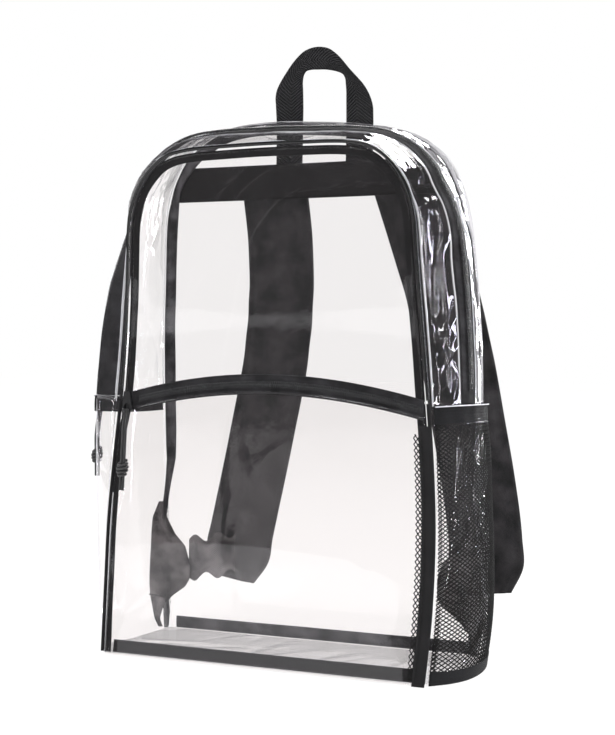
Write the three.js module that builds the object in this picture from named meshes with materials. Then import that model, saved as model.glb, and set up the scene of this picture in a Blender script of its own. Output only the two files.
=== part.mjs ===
// A clear vinyl backpack with a domed front, a zipped front pocket, a net side pocket,
// black trim, a webbing handle and two shoulder straps.
// Millimetres. X runs across the bag, Y from front to back, Z up.
// The origin is the middle of the underside, on the surface that the bag stands on.
import * as THREE from "three";
import { mergeVertices } from "three/addons/utils/BufferGeometryUtils.js";

// Main sizes of the bag
const baseWidth = 279;
const backBaseWidth = 292;
const baseDepth = 118;
const frontHeight = 409;
const backHeight = 441;
const frontLean = 23;
const backLean = 20;
const crownTilt = 11;
const sideSwellLeft = 38;
const sideSwellRight = 17;
const frontSwell = 5;
const backSwell = 4;

// Sheet and tape thicknesses, and the clearances between sewn pieces
const vinyl = 1.2;
const tape = 1.0;
const gap = 0.3;
const seamGap = 1.0;

// Black edging
const pipingRadius = 2.0;
const frontBindingWidth = 7;
const backBindingWidth = 10;
const baseBindingHeight = 10;

// Main zip, which runs round the gusset from band to band
const bandHeight = 206;
const sideBandWidth = 14;
const zipDepthShare = 0.38;
const mainTapeWidth = 22;
const mainCoilWidth = 6;
const coilThickness = 1.8;

// Front pocket and its arched zip
const pocketArch = 18;
const pocketSwell = 12;
const pocketTapeWidth = 16;
const pocketCoilWidth = 4.5;
const pocketMouthDrop = 5;

// Zip sliders and their cord pulls
const sliderLength = 17;
const sliderRim = 2.0;
const sliderThickness = 3;
const sliderLap = 6;
const pullCordRadius = 1.1;
const pullLength = 68;
const pullKnotDrop = 50;
const pullKnotLength = 10;
const pullKnotWall = 2.2;
const pullDrift = 6;

// Net side pocket
const netWall = 1.0;
const netStandOff = 0.5;
const netSwell = 7;
const netBindingWidth = 10;

// Yoke, handle and shoulder straps
const yokeHeight = 30;
const yokeTop = 406;
const handleThickness = 2.4;
const handleSpan = 90;
const handleShift = -5;
const handleRise = 64;
const strapWidth = 62;
const strapThickness = 8;
const strapDrop = 348;
const strapSeatLeft = 54;
const strapSeatRight = 68;
const strapStandOffLeft = 14;
const strapStandOffRight = 34;
const strapSpreadLeft = 40;
const strapSpreadRight = 64;
const linkWidth = 34;
const linkGather = 2;
const linkLap = 3;
const anchorHeight = 100;
const anchorReach = 24;
const anchorLift = 12;

// Gusset sections from the base up to the crown, as shares of heights, half widths and leans
const outline = [
  { frontRise: 0.0, frontReach: 1.0, frontLean: 0.0, backRise: 0.0, backLeft: 1.0, backRight: 1.0, backLean: 0.0 },
  { frontRise: 0.122, frontReach: 1.018, frontLean: 0.38, backRise: 0.113, backLeft: 1.02, backRight: 1.02, backLean: 0.0 },
  { frontRise: 0.269, frontReach: 1.02, frontLean: 0.66, backRise: 0.249, backLeft: 1.026, backRight: 1.023, backLean: 0.02 },
  { frontRise: 0.403, frontReach: 0.996, frontLean: 0.86, backRise: 0.374, backLeft: 1.031, backRight: 1.016, backLean: 0.05 },
  { frontRise: 0.506, frontReach: 0.968, frontLean: 0.97, backRise: 0.469, backLeft: 1.039, backRight: 1.002, backLean: 0.1 },
  { frontRise: 0.623, frontReach: 0.939, frontLean: 1.0, backRise: 0.585, backLeft: 1.055, backRight: 0.981, backLean: 0.26 },
  { frontRise: 0.721, frontReach: 0.918, frontLean: 0.93, backRise: 0.685, backLeft: 1.06, backRight: 0.953, backLean: 0.45 },
  { frontRise: 0.807, frontReach: 0.903, frontLean: 0.86, backRise: 0.776, backLeft: 1.066, backRight: 0.92, backLean: 0.62 },
  { frontRise: 0.861, frontReach: 0.892, frontLean: 0.81, backRise: 0.83, backLeft: 1.057, backRight: 0.89, backLean: 0.73 },
  { frontRise: 0.9, frontReach: 0.861, frontLean: 0.77, backRise: 0.873, backLeft: 1.024, backRight: 0.852, backLean: 0.81 },
  { frontRise: 0.932, frontReach: 0.814, frontLean: 0.75, backRise: 0.909, backLeft: 0.966, backRight: 0.802, backLean: 0.87 },
  { frontRise: 0.958, frontReach: 0.753, frontLean: 0.74, backRise: 0.939, backLeft: 0.883, backRight: 0.738, backLean: 0.91 },
  { frontRise: 0.978, frontReach: 0.685, frontLean: 0.73, backRise: 0.961, backLeft: 0.785, backRight: 0.652, backLean: 0.95 },
  { frontRise: 0.991, frontReach: 0.588, frontLean: 0.73, backRise: 0.98, backLeft: 0.673, backRight: 0.545, backLean: 0.97 },
  { frontRise: 0.997, frontReach: 0.444, frontLean: 0.73, backRise: 0.992, backLeft: 0.519, backRight: 0.385, backLean: 0.99 },
  { frontRise: 0.999, frontReach: 0.229, frontLean: 0.73, backRise: 0.999, backLeft: 0.301, backRight: 0.15, backLean: 1.0 },
  { frontRise: 1.0, frontReach: 0.0, frontLean: 0.73, backRise: 1.0, backLeft: 0.082, backRight: -0.082, backLean: 1.0 },
];

// How far each of those sections swells outward, as shares of the left and right side swell
const swells = [
  { left: 0.36, right: 1.11 },
  { left: 0.6, right: 1.0 },
  { left: 0.74, right: 0.76 },
  { left: 0.88, right: 0.76 },
  { left: 0.97, right: 0.92 },
  { left: 0.93, right: 1.0 },
  { left: 0.76, right: 1.04 },
  { left: 0.44, right: 1.0 },
  { left: 0.3, right: 0.8 },
  { left: 0.28, right: 0.62 },
  { left: 0.27, right: 0.56 },
  { left: 0.23, right: 0.46 },
  { left: 0.19, right: 0.38 },
  { left: 0.16, right: 0.33 },
  { left: 0.14, right: 0.3 },
  { left: 0.13, right: 0.28 },
  { left: 0.13, right: 0.28 },
];

// Swell across the gusset from its front seam to its back seam, at even steps of depth
const depthProfile = [
  { left: 0.0, right: 0.0 },
  { left: 0.66, right: 0.55 },
  { left: 1.0, right: 0.9 },
  { left: 0.85, right: 1.0 },
  { left: 0.55, right: 0.98 },
  { left: 0.34, right: 0.86 },
  { left: 0.19, right: 0.65 },
  { left: 0.08, right: 0.36 },
  { left: 0.0, right: 0.0 },
];

// Soft folds across the gusset: where along the run, where in the depth, how deep and how wide
const foldDepth = 3.5;
const gussetFolds = [
  { run: -0.52, depth: 0.12, dent: 1.0, runSpread: 0.035, depthSpread: 0.16 },
  { run: -0.4, depth: 0.75, dent: 0.8, runSpread: 0.04, depthSpread: 0.2 },
  { run: 0.44, depth: 0.14, dent: 1.0, runSpread: 0.04, depthSpread: 0.14 },
  { run: 0.6, depth: 0.18, dent: 0.9, runSpread: 0.035, depthSpread: 0.12 },
  { run: 0.52, depth: 0.72, dent: 0.7, runSpread: 0.05, depthSpread: 0.2 },
  { run: -0.85, depth: 0.5, dent: 0.9, runSpread: 0.05, depthSpread: 0.2 },
];

// Centre line of each shoulder strap: shares of its drop, of its spread and of its stand-off
const strapRows = [
  { drop: 0.0, leftAcross: 0.0, leftBehind: 0.0, rightAcross: 0.0, rightBehind: 0.0 },
  { drop: 0.144, leftAcross: -0.06, leftBehind: 0.55, rightAcross: 0.2, rightBehind: 0.4 },
  { drop: 0.258, leftAcross: -0.03, leftBehind: 0.85, rightAcross: 0.36, rightBehind: 0.66 },
  { drop: 0.364, leftAcross: 0.05, leftBehind: 1.0, rightAcross: 0.47, rightBehind: 0.84 },
  { drop: 0.478, leftAcross: 0.19, leftBehind: 1.0, rightAcross: 0.59, rightBehind: 0.94 },
  { drop: 0.612, leftAcross: 0.42, leftBehind: 0.9, rightAcross: 0.72, rightBehind: 0.98 },
  { drop: 0.727, leftAcross: 0.62, leftBehind: 0.75, rightAcross: 0.84, rightBehind: 0.95 },
  { drop: 0.861, leftAcross: 0.86, leftBehind: 0.5, rightAcross: 0.96, rightBehind: 0.84 },
  { drop: 1.0, leftAcross: 1.06, leftBehind: 0.36, rightAcross: 1.02, rightBehind: 0.7 },
];

// The handle's outer edge and inner edge, as shares of its span and of its rise above the bag
const handleRows = [
  { outerAcross: -0.5, outerRise: 0.0, innerAcross: -0.228, innerRise: 0.0 },
  { outerAcross: -0.507, outerRise: 0.2, innerAcross: -0.225, innerRise: 0.2 },
  { outerAcross: -0.509, outerRise: 0.42, innerAcross: -0.226, innerRise: 0.4 },
  { outerAcross: -0.43, outerRise: 0.63, innerAcross: -0.225, innerRise: 0.6 },
  { outerAcross: -0.24, outerRise: 0.93, innerAcross: -0.19, innerRise: 0.69 },
  { outerAcross: -0.09, outerRise: 1.0, innerAcross: -0.07, innerRise: 0.7 },
  { outerAcross: 0.07, outerRise: 0.95, innerAcross: 0.06, innerRise: 0.68 },
  { outerAcross: 0.27, outerRise: 0.66, innerAcross: 0.2, innerRise: 0.6 },
  { outerAcross: 0.42, outerRise: 0.42, innerAcross: 0.225, innerRise: 0.45 },
  { outerAcross: 0.49, outerRise: 0.2, innerAcross: 0.228, innerRise: 0.2 },
  { outerAcross: 0.5, outerRise: 0.0, innerAcross: 0.228, innerRise: 0.0 },
];

// Finishes
const finishes = {
  vinyl: { color: 0xeeeeee, roughness: 0.12, metalness: 0, transparent: true, opacity: 0.3 },
  trim: { color: 0x161517, roughness: 0.8, metalness: 0 },
  webbing: { color: 0x121113, roughness: 0.85, metalness: 0 },
  padding: { color: 0x1b1a1c, roughness: 0.9, metalness: 0 },
  net: { color: 0x151416, roughness: 0.8, metalness: 0 },
  coil: { color: 0x0f0f10, roughness: 0.45, metalness: 0 },
  slider: { color: 0x141416, roughness: 0.35, metalness: 0.6 },
  cord: { color: 0x101011, roughness: 0.8, metalness: 0 },
};

const bag = new THREE.Group();

// Adds a named solid with a finish of its own
function addPiece(name, geometry, finish) {
  const mesh = new THREE.Mesh(geometry, new THREE.MeshStandardMaterial(finishes[finish]));
  mesh.name = name;
  bag.add(mesh);
  return mesh;
}

// Six times the volume that the triangles enclose, which is negative where they face inward
function enclosed(geometry) {
  const corners = geometry.attributes.position;
  const faces = geometry.index;
  const a = new THREE.Vector3();
  const b = new THREE.Vector3();
  const c = new THREE.Vector3();
  let total = 0;
  for (let i = 0; i < faces.count; i += 3) {
    a.fromBufferAttribute(corners, faces.getX(i));
    b.fromBufferAttribute(corners, faces.getX(i + 1));
    c.fromBufferAttribute(corners, faces.getX(i + 2));
    total += a.dot(b.cross(c));
  }
  return total;
}

// Turns every triangle over where the solid would face inward
function faceOut(geometry) {
  if (enclosed(geometry) < 0) {
    const faces = geometry.index;
    for (let i = 0; i < faces.count; i += 3) {
      const kept = faces.getX(i);
      faces.setX(i, faces.getX(i + 1));
      faces.setX(i + 1, kept);
    }
  }
  return geometry;
}

// A thin wall: a box whose corners are moved by place(u, v, w), with each share from 0 to 1.
// u and v run along the wall, and w goes from its inner face to its outer face.
function wall(stepsU, stepsV, place) {
  const plain = new THREE.BoxGeometry(1, 1, 1, stepsU, stepsV, 1);
  plain.deleteAttribute("normal");
  plain.deleteAttribute("uv");
  const geometry = mergeVertices(plain, 1e-5);
  const corners = geometry.attributes.position;
  for (let i = 0; i < corners.count; i += 1) {
    const point = place(corners.getX(i) + 0.5, corners.getY(i) + 0.5, corners.getZ(i) + 0.5);
    corners.setXYZ(i, point.x, point.y, point.z);
  }
  return faceOut(geometry);
}

const mix = THREE.MathUtils.lerp;

// A smooth curve over a table's rows: its parameter counts rows evenly from 0 to 1
function smooth(points) {
  return new THREE.CatmullRomCurve3(points, false, "centripetal");
}

// Rows for the left half, then the same rows mirrored for the right half
function bothSides(rows, toPoint) {
  const left = rows.map((row) => toPoint(row, -1));
  const right = rows.slice(0, -1).reverse().map((row) => toPoint(row, 1));
  return left.concat(right);
}

const frontSeam = smooth(bothSides(outline, (row, side) => new THREE.Vector3(
  side * row.frontReach * baseWidth / 2,
  row.frontLean * frontLean - baseDepth / 2,
  row.frontRise * frontHeight,
)));
// The back has settled to the left, with its right shoulder lower than its left one
const backSeam = smooth(bothSides(outline, (row, side) => {
  const across = side * (side < 0 ? row.backLeft : row.backRight);
  return new THREE.Vector3(
    across * backBaseWidth / 2,
    row.backLean * backLean + baseDepth / 2,
    row.backRise * backHeight - across * crownTilt * Math.pow(row.backRise, 3),
  );
}));
const leftSwell = smooth(bothSides(swells, (row) => new THREE.Vector3(row.left, 0, 0)));
const rightSwell = smooth(bothSides(swells, (row) => new THREE.Vector3(row.right, 0, 0)));
const profileCurve = smooth(depthProfile.map((row) => new THREE.Vector3(row.left, row.right, 0)));

// run goes from -1 at the left foot of the gusset over 0 at the crown to 1 at the right foot
function share(run) {
  return THREE.MathUtils.clamp((run + 1) / 2, 0, 1);
}

// A seam's outward direction in its upright plane
function seamOutward(seam, run) {
  const before = seam.getPoint(share(run - 0.01));
  const after = seam.getPoint(share(run + 0.01));
  return new THREE.Vector3(before.z - after.z, 0, after.x - before.x).normalize();
}

// The seam's point that lies at a height, on its left half or, with side 1, on its right half
function seamAtHeight(seam, height, side = -1) {
  let foot = side < 0 ? 0 : 1;
  let crown = 0.5;
  for (let i = 0; i < 26; i += 1) {
    const middle = (foot + crown) / 2;
    if (seam.getPoint(middle).z < height) {
      foot = middle;
    } else {
      crown = middle;
    }
  }
  return seam.getPoint((foot + crown) / 2);
}

// Where along the run the front seam reaches a height on the right side
function runAtHeight(height) {
  let low = 0;
  let high = 1;
  for (let i = 0; i < 26; i += 1) {
    const middle = (low + high) / 2;
    if (frontSeam.getPoint(share(middle)).z > height) {
      low = middle;
    } else {
      high = middle;
    }
  }
  return (low + high) / 2;
}

// The depth of the gusset, from seam to seam
function gussetSpan(run) {
  return frontSeam.getPoint(share(run)).distanceTo(backSeam.getPoint(share(run)));
}

// How far the gusset stands out of the straight line from seam to seam
function gussetSwell(run, depth) {
  const rightward = THREE.MathUtils.smoothstep(run, -0.3, 0.3);
  const profile = profileCurve.getPoint(THREE.MathUtils.clamp(depth, 0, 1));
  const left = sideSwellLeft * leftSwell.getPoint(share(run)).x * profile.x;
  const right = sideSwellRight * rightSwell.getPoint(share(run)).x * profile.y;
  let total = mix(left, right, rightward);
  for (const fold of gussetFolds) {
    const along = (run - fold.run) / fold.runSpread;
    const across = (depth - fold.depth) / fold.depthSpread;
    total -= foldDepth * fold.dent * Math.exp(-along * along - across * across);
  }
  const edgeFade = Math.min(1, 12 * depth * (1 - depth));
  return total * edgeFade + mix(left, right, rightward) * (1 - edgeFade);
}

// A point of the gusset's outer face
function gussetPoint(run, depth) {
  const front = frontSeam.getPoint(share(run));
  const back = backSeam.getPoint(share(run));
  const point = front.clone().lerp(back, depth);
  const outward = seamOutward(frontSeam, run).lerp(seamOutward(backSeam, run), depth).normalize();
  return point.addScaledVector(outward, gussetSwell(run, depth));
}

// The gusset's outward normal
function gussetNormal(run, depth) {
  const small = 0.004;
  const low = Math.max(-1, run - small);
  const high = Math.min(1, run + small);
  const along = gussetPoint(high, depth).sub(gussetPoint(low, depth));
  const near = Math.max(0, depth - small);
  const far = Math.min(1, depth + small);
  const across = gussetPoint(run, far).sub(gussetPoint(run, near));
  return along.cross(across).normalize();
}

// A point that stands off the gusset's outer face, outward where positive
function offGusset(run, depth, offset) {
  const point = gussetPoint(run, depth).addScaledVector(gussetNormal(run, depth), offset);
  point.z = Math.max(0, point.z);
  return point;
}

// Outer face of the front wall at a place on it
function frontFace(x, height) {
  const seam = seamAtHeight(frontSeam, height);
  const across = Math.min(1, Math.abs(x / seam.x));
  const rise = THREE.MathUtils.clamp(height / frontHeight, 0, 1);
  return seam.y - frontSwell * (1 - across * across) * 4 * rise * (1 - rise);
}

// Outer face of the back wall at a place on it
function backFace(x, height) {
  const left = seamAtHeight(backSeam, height, -1);
  const right = seamAtHeight(backSeam, height, 1);
  const across = (x - left.x) / Math.max(seamGap, right.x - left.x);
  const over = THREE.MathUtils.clamp(across, 0, 1);
  const rise = THREE.MathUtils.clamp(height / backHeight, 0, 1);
  return mix(left.y, right.y, over) + backSwell * 4 * over * (1 - over) * 4 * rise * (1 - rise);
}

// The height at which the back seam is this far from the middle, above the widest part
function seamAtReach(reach) {
  let low = 0.25;
  let high = 0.5;
  for (let i = 0; i < 26; i += 1) {
    const middle = (low + high) / 2;
    if (Math.abs(backSeam.getPoint(middle).x) > reach) {
      low = middle;
    } else {
      high = middle;
    }
  }
  return backSeam.getPoint((low + high) / 2).z - gap;
}

// A place inside a seam, at a distance from it, in the plane of the wall
function insideSeam(seam, run, distance) {
  const point = seam.getPoint(share(run)).addScaledVector(seamOutward(seam, run), -distance);
  point.z = Math.max(0, point.z);
  return point;
}

// Spreads a grid over a domed wall between its foot, its two sides and its crown
const shoulderRun = 0.3;
function domePoint(seam, distance, u, v) {
  const side = (corner, end) => insideSeam(seam, mix(end, corner, v), distance);
  const left = side(-shoulderRun, -1);
  const right = side(shoulderRun, 1);
  const top = insideSeam(seam, mix(-shoulderRun, shoulderRun, u), distance);
  const footLeft = insideSeam(seam, -1, distance);
  const footRight = insideSeam(seam, 1, distance);
  const topLeft = insideSeam(seam, -shoulderRun, distance);
  const topRight = insideSeam(seam, shoulderRun, distance);
  const bottom = footLeft.clone().lerp(footRight, u);
  const point = left.multiplyScalar(1 - u).addScaledVector(right, u);
  point.addScaledVector(bottom, 1 - v).addScaledVector(top, v);
  point.addScaledVector(footLeft, -(1 - u) * (1 - v)).addScaledVector(footRight, -u * (1 - v));
  point.addScaledVector(topLeft, -(1 - u) * v).addScaledVector(topRight, -u * v);
  return point;
}

const seamInset = pipingRadius + seamGap;

// Front wall, full height, behind the pocket
addPiece("front_panel", wall(16, 14, (u, v, w) => {
  const place = domePoint(frontSeam, seamInset, u, v);
  return new THREE.Vector3(place.x, frontFace(place.x, place.z) + vinyl * (1 - w), place.z);
}), "vinyl");

// Back wall
const backInset = vinyl + gap + seamGap;
addPiece("back_panel", wall(14, 12, (u, v, w) => {
  const place = domePoint(backSeam, backInset, u, v);
  return new THREE.Vector3(place.x, backFace(place.x, place.z) - vinyl * (1 - w), place.z);
}), "vinyl");

// Lower front wall of the pocket, which stands off the front wall and is open under the zip
function pocketZipHeight(across) {
  return bandHeight - sideBandWidth / 2 + pocketArch * (1 - across * across) + pocketTapeWidth / 4;
}
function pocketGapAt(u, v) {
  const round = Math.pow(Math.sin(Math.PI * u), 0.8) * Math.sin(Math.PI * Math.pow(v, 0.85));
  return gap + tape + gap + pocketSwell * Math.max(0, round);
}
addPiece("pocket_panel", wall(16, 10, (u, v, w) => {
  const across = 2 * u - 1;
  const height = v * (pocketZipHeight(across) - pocketMouthDrop);
  const seam = seamAtHeight(frontSeam, height);
  const x = across * (Math.abs(seam.x) - seamInset);
  return new THREE.Vector3(x, frontFace(x, height) - pocketGapAt(u, v) - vinyl * w, height);
}), "vinyl");

// Clear gusset strips before and behind the main zip.
// All that runs round the gusset is cut into the same steps, so its facets lie on each other.
const runSteps = 56;
const bandRun = runAtHeight(bandHeight);
function zipDepth(run, distance) {
  return zipDepthShare + distance / gussetSpan(run);
}
addPiece("gusset_front", wall(runSteps, 3, (u, v, w) => {
  const run = mix(-bandRun, bandRun, u);
  const depth = mix(seamInset / gussetSpan(run), zipDepth(run, -mainTapeWidth / 2 - gap), v);
  return offGusset(run, depth, -vinyl * (1 - w));
}), "vinyl");
addPiece("gusset_rear", wall(runSteps, 3, (u, v, w) => {
  const run = mix(-bandRun, bandRun, u);
  const depth = mix(zipDepth(run, mainTapeWidth / 2 + gap), 1 - seamGap / gussetSpan(run), v);
  return offGusset(run, depth, -vinyl * (1 - w));
}), "vinyl");

// Lower side walls, from the band down to the base
const footRun = 1;
const sideSteps = 8;
function sideDepth(run, v) {
  return mix(seamInset / gussetSpan(run), 1 - seamGap / gussetSpan(run), v);
}
for (const [name, side] of [["left", -1], ["right", 1]]) {
  const top = bandRun + gap / frontHeight;
  addPiece(`side_panel_${name}`, wall(10, sideSteps, (u, v, w) => {
    const run = side * mix(top, footRun, u);
    return offGusset(run, sideDepth(run, v), -vinyl * (1 - w));
  }), "vinyl");
}

// Base, inside the four walls
const baseInset = vinyl + gap;
addPiece("base_panel", wall(6, sideSteps, (u, v, w) => {
  const left = gussetPoint(-1, v);
  const right = gussetPoint(1, v);
  const x = mix(left.x + baseInset, right.x - baseInset, u);
  const y = mix(left.y, right.y, u);
  const inset = mix(baseInset, -baseInset, v);
  return new THREE.Vector3(x, y + inset, vinyl * w);
}), "vinyl");

// Piping along the front seam, as one round cord from foot to foot
class SeamStretch extends THREE.Curve {
  constructor(seam, end) {
    super();
    this.seam = seam;
    this.end = end;
  }

  getPoint(t) {
    return this.seam.getPoint(share(mix(-this.end, this.end, t)));
  }
}

// A tube with flat sides round a path
function tube(path, radius, sides, steps) {
  const ring = new THREE.Shape(Array.from({ length: sides }, (_, i) => {
    const angle = 2 * Math.PI * i / sides;
    return new THREE.Vector2(radius * Math.cos(angle), radius * Math.sin(angle));
  }));
  return new THREE.ExtrudeGeometry(ring, { steps, bevelEnabled: false, extrudePath: path });
}

const pipingEnd = runAtHeight(pipingRadius);
const pipingLine = new SeamStretch(frontSeam, pipingEnd);
addPiece("front_piping", tube(pipingLine, pipingRadius, 6, runSteps), "trim");

// Seam allowances bound in tape, flat against the inside of the front and back walls
const bindingEnd = runAtHeight(baseBindingHeight + 2 * gap + vinyl);
addPiece("front_binding", wall(runSteps - 4, 1, (u, v, w) => {
  const run = mix(-bindingEnd, bindingEnd, u);
  const place = insideSeam(frontSeam, run, seamInset + frontBindingWidth * v);
  const inner = frontFace(place.x, place.z) + vinyl + gap;
  return new THREE.Vector3(place.x, inner + tape * (1 - w), place.z);
}), "trim");
addPiece("back_binding", wall(runSteps - 4, 1, (u, v, w) => {
  const run = mix(-bindingEnd, bindingEnd, u);
  const place = insideSeam(backSeam, run, backInset + backBindingWidth * v);
  const inner = backFace(place.x, place.z) - vinyl - gap;
  return new THREE.Vector3(place.x, inner - tape * (1 - w), place.z);
}), "trim");

// Bound seams that stand up along the foot of the front and back walls
function baseBinding(seam, face, side) {
  const half = Math.abs(seam.getPoint(0).x) - 3 * seamInset;
  const low = vinyl + gap;
  return wall(12, 1, (u, v, w) => {
    const x = mix(-half, half, u);
    const height = low + baseBindingHeight * v;
    return new THREE.Vector3(x, face(x, height) + side * (vinyl + gap + tape * w), height);
  });
}
addPiece("base_binding_front", baseBinding(frontSeam, frontFace, 1), "trim");
addPiece("base_binding_back", baseBinding(backSeam, backFace, -1), "trim");

// Main zip: its tape joins the two clear strips edge to edge, and its coil stands on it
const mainTapeLevel = -tape;
addPiece("main_zip_tape", wall(runSteps, 2, (u, v, w) => {
  const run = mix(-bandRun, bandRun, u);
  const depth = zipDepth(run, mainTapeWidth * (v - 0.5));
  return offGusset(run, depth, mainTapeLevel + tape * w);
}), "trim");
const mainCoilEnd = runAtHeight(bandHeight + sliderLength / 2);
addPiece("main_zip_coil", wall(runSteps, 1, (u, v, w) => {
  const run = mix(-mainCoilEnd, mainCoilEnd, u);
  const depth = zipDepth(run, mainCoilWidth * (v - 0.5));
  return offGusset(run, depth, 2 * gap + coilThickness * w);
}), "coil");

// Pocket zip: an arched tape on the front wall with its coil on top
function onFrontArch(across, rise, inset, offset) {
  const arch = bandHeight - sideBandWidth / 2 + pocketArch * (1 - across * across);
  const height = arch + pocketTapeWidth / 4 + rise;
  const seam = seamAtHeight(frontSeam, height);
  const x = across * (Math.abs(seam.x) - inset);
  return new THREE.Vector3(x, frontFace(x, height) - offset, height);
}
addPiece("pocket_zip_tape", wall(28, 1, (u, v, w) => (
  onFrontArch(2 * u - 1, pocketTapeWidth * (v - 0.5), seamInset, gap + tape * w)
)), "trim");
const coilStart = 2 * sliderLength / baseWidth;
addPiece("pocket_zip_coil", wall(28, 1, (u, v, w) => (
  onFrontArch(
    mix(coilStart - 1, 1, u),
    pocketCoilWidth * (v - 0.5),
    seamInset,
    2 * gap + tape + coilThickness * w,
  )
)), "coil");

// Bands round both sides under the ends of the main zip
const bandFoot = runAtHeight(bandHeight - sideBandWidth);
const bandLevel = { left: 2 * gap, right: netStandOff + 2 * gap };
for (const [name, side] of [["left", -1], ["right", 1]]) {
  addPiece(`side_band_${name}`, wall(2, sideSteps, (u, v, w) => {
    const run = side * mix(bandRun + gap / frontHeight, bandFoot, u);
    return offGusset(run, sideDepth(run, v), bandLevel[name] + tape * w);
  }), "trim");
}

// Net pocket on the right side, bagging out between its bound edges
const netTop = runAtHeight(bandHeight - sideBandWidth - gap);
const netFoot = runAtHeight(gap);
addPiece("net_pocket", wall(8, sideSteps, (u, v, w) => {
  const run = mix(netTop, netFoot, u);
  const round = Math.sin(Math.PI * v) * Math.pow(Math.sin(Math.PI * Math.pow(u, 0.8)), 0.7);
  const swell = netStandOff + 2 * gap + netSwell * Math.max(0, round);
  return offGusset(run, sideDepth(run, v), swell + netWall * w);
}), "net");

// Tape that binds the net's front edge over the front seam
addPiece("net_binding", wall(10, 1, (u, v, w) => {
  const height = mix(2 * gap, bandHeight - sideBandWidth - gap, u);
  const seam = seamAtHeight(frontSeam, height);
  const x = Math.abs(seam.x) + netBindingWidth * (v - 0.72);
  return new THREE.Vector3(x, seam.y - pipingRadius - vinyl - tape - 2 * gap - tape * w, height);
}), "trim");

// Yoke: a band across the back of the bag below the handle
function behindBack(x, height, offset) {
  return new THREE.Vector3(x, backFace(x, height) + offset, height);
}
addPiece("yoke", wall(14, 2, (u, v, w) => {
  const height = yokeTop - yokeHeight * (1 - v);
  const left = seamAtHeight(backSeam, height, -1).x + backInset;
  const right = seamAtHeight(backSeam, height, 1).x - backInset;
  return behindBack(mix(left, right, u), height, gap + tape * w);
}), "trim");

// Handle: its legs are sewn down the back of the bag, and it stands up in an angular loop
const handleSeat = 2 * gap + tape;
const handleOuter = smooth(handleRows.map((row) => (
  new THREE.Vector3(row.outerAcross * handleSpan, 0, row.outerRise * handleRise)
)));
const handleInner = smooth(handleRows.map((row) => (
  new THREE.Vector3(row.innerAcross * handleSpan, 0, row.innerRise * handleRise)
)));
const legShare = 0.12;
const legFoot = yokeTop - yokeHeight / 3;
addPiece("handle", wall(28, 2, (u, v, w) => {
  const loop = THREE.MathUtils.clamp((u - legShare) / (1 - 2 * legShare), 0, 1);
  const onLeg = Math.min(u, 1 - u, legShare) / legShare;
  const point = handleOuter.getPoint(loop).lerp(handleInner.getPoint(loop), v);
  point.x += handleShift;
  const height = mix(legFoot, backHeight, onLeg);
  const surface = backFace(point.x, Math.min(height, seamAtReach(Math.abs(point.x))));
  point.y = surface + handleSeat + handleThickness * w;
  point.z += height;
  return point;
}), "webbing");

// Shoulder straps: padded bands that hang from the yoke and stand off the back
function strapSeat(x) {
  return backFace(x, yokeTop) + 3 * gap + tape + strapThickness / 2;
}
const strapLines = {
  left: smooth(strapRows.map((row) => new THREE.Vector3(
    -strapSeatLeft - row.leftAcross * strapSpreadLeft,
    strapSeat(-strapSeatLeft) + row.leftBehind * strapStandOffLeft,
    yokeTop - yokeHeight / 2 - row.drop * strapDrop,
  ))),
  right: smooth(strapRows.map((row) => new THREE.Vector3(
    strapSeatRight + row.rightAcross * strapSpreadRight,
    strapSeat(strapSeatRight) + row.rightBehind * strapStandOffRight,
    yokeTop - yokeHeight / 2 - row.drop * strapDrop,
  ))),
};
const strapTurn = { left: 0, right: 0.24 };
const strapEndShare = 0.06;
for (const name of ["left", "right"]) {
  addPiece(`strap_${name}`, wall(18, 4, (u, v, w) => {
    const centre = strapLines[name].getPoint(u);
    const along = strapLines[name].getTangent(u);
    const turn = strapTurn[name] * Math.min(1, 3 * u);
    const across = new THREE.Vector3(Math.cos(turn), Math.sin(turn), 0);
    across.addScaledVector(along, -across.dot(along)).normalize();
    const facing = along.clone().cross(across).normalize();
    const past = Math.max(0, (u - 1 + strapEndShare) / strapEndShare);
    const half = strapWidth / 2 * (1 - 0.35 * past * past);
    const side = 2 * v - 1;
    const thick = strapThickness * (1 - 0.55 * Math.pow(Math.abs(side), 4));
    return centre.addScaledVector(across, half * side).addScaledVector(facing, thick * (w - 0.5));
  }), "padding");
}

// Corner tabs in the back seams, and the gathered bands that tie the strap ends to them
for (const [name, side] of [["left", -1], ["right", 1]]) {
  const middle = anchorLift + anchorHeight / 2;
  const edge = Math.abs(seamAtHeight(backSeam, middle, side).x) - seamGap;
  addPiece(`anchor_${name}`, wall(4, 2, (u, v, w) => {
    const half = mix(anchorHeight, linkWidth, u) / 2;
    const x = side * (edge - anchorReach * u);
    const height = mix(middle - half, middle + half, v);
    return behindBack(x, height, gap + tape * w);
  }), "trim");
  const tip = behindBack(side * (edge - anchorReach + linkLap), middle, 4 * gap + 3 * tape / 2);
  const end = strapLines[name].getPoint(1 - strapEndShare);
  const hang = strapLines[name].getTangent(1 - strapEndShare);
  end.y -= strapThickness / 2 + 3 * gap + tape / 2;
  addPiece(`strap_link_${name}`, wall(12, 2, (u, v, w) => {
    const centre = tip.clone().lerp(end, u);
    const facing = new THREE.Vector3(tip.y - end.y, end.x - tip.x, 0).normalize();
    if (facing.y < 0) {
      facing.negate();
    }
    const ripple = linkGather * Math.sin(3 * Math.PI * u) * (1 - u);
    centre.addScaledVector(facing, ripple + tape * (w - 0.5));
    const rise = linkWidth * (v - 0.5) * (1 + 0.2 * Math.sin(4 * Math.PI * u));
    centre.y += u * rise * hang.y / hang.z;
    centre.z += rise;
    return centre;
  }), "trim");
}

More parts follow.
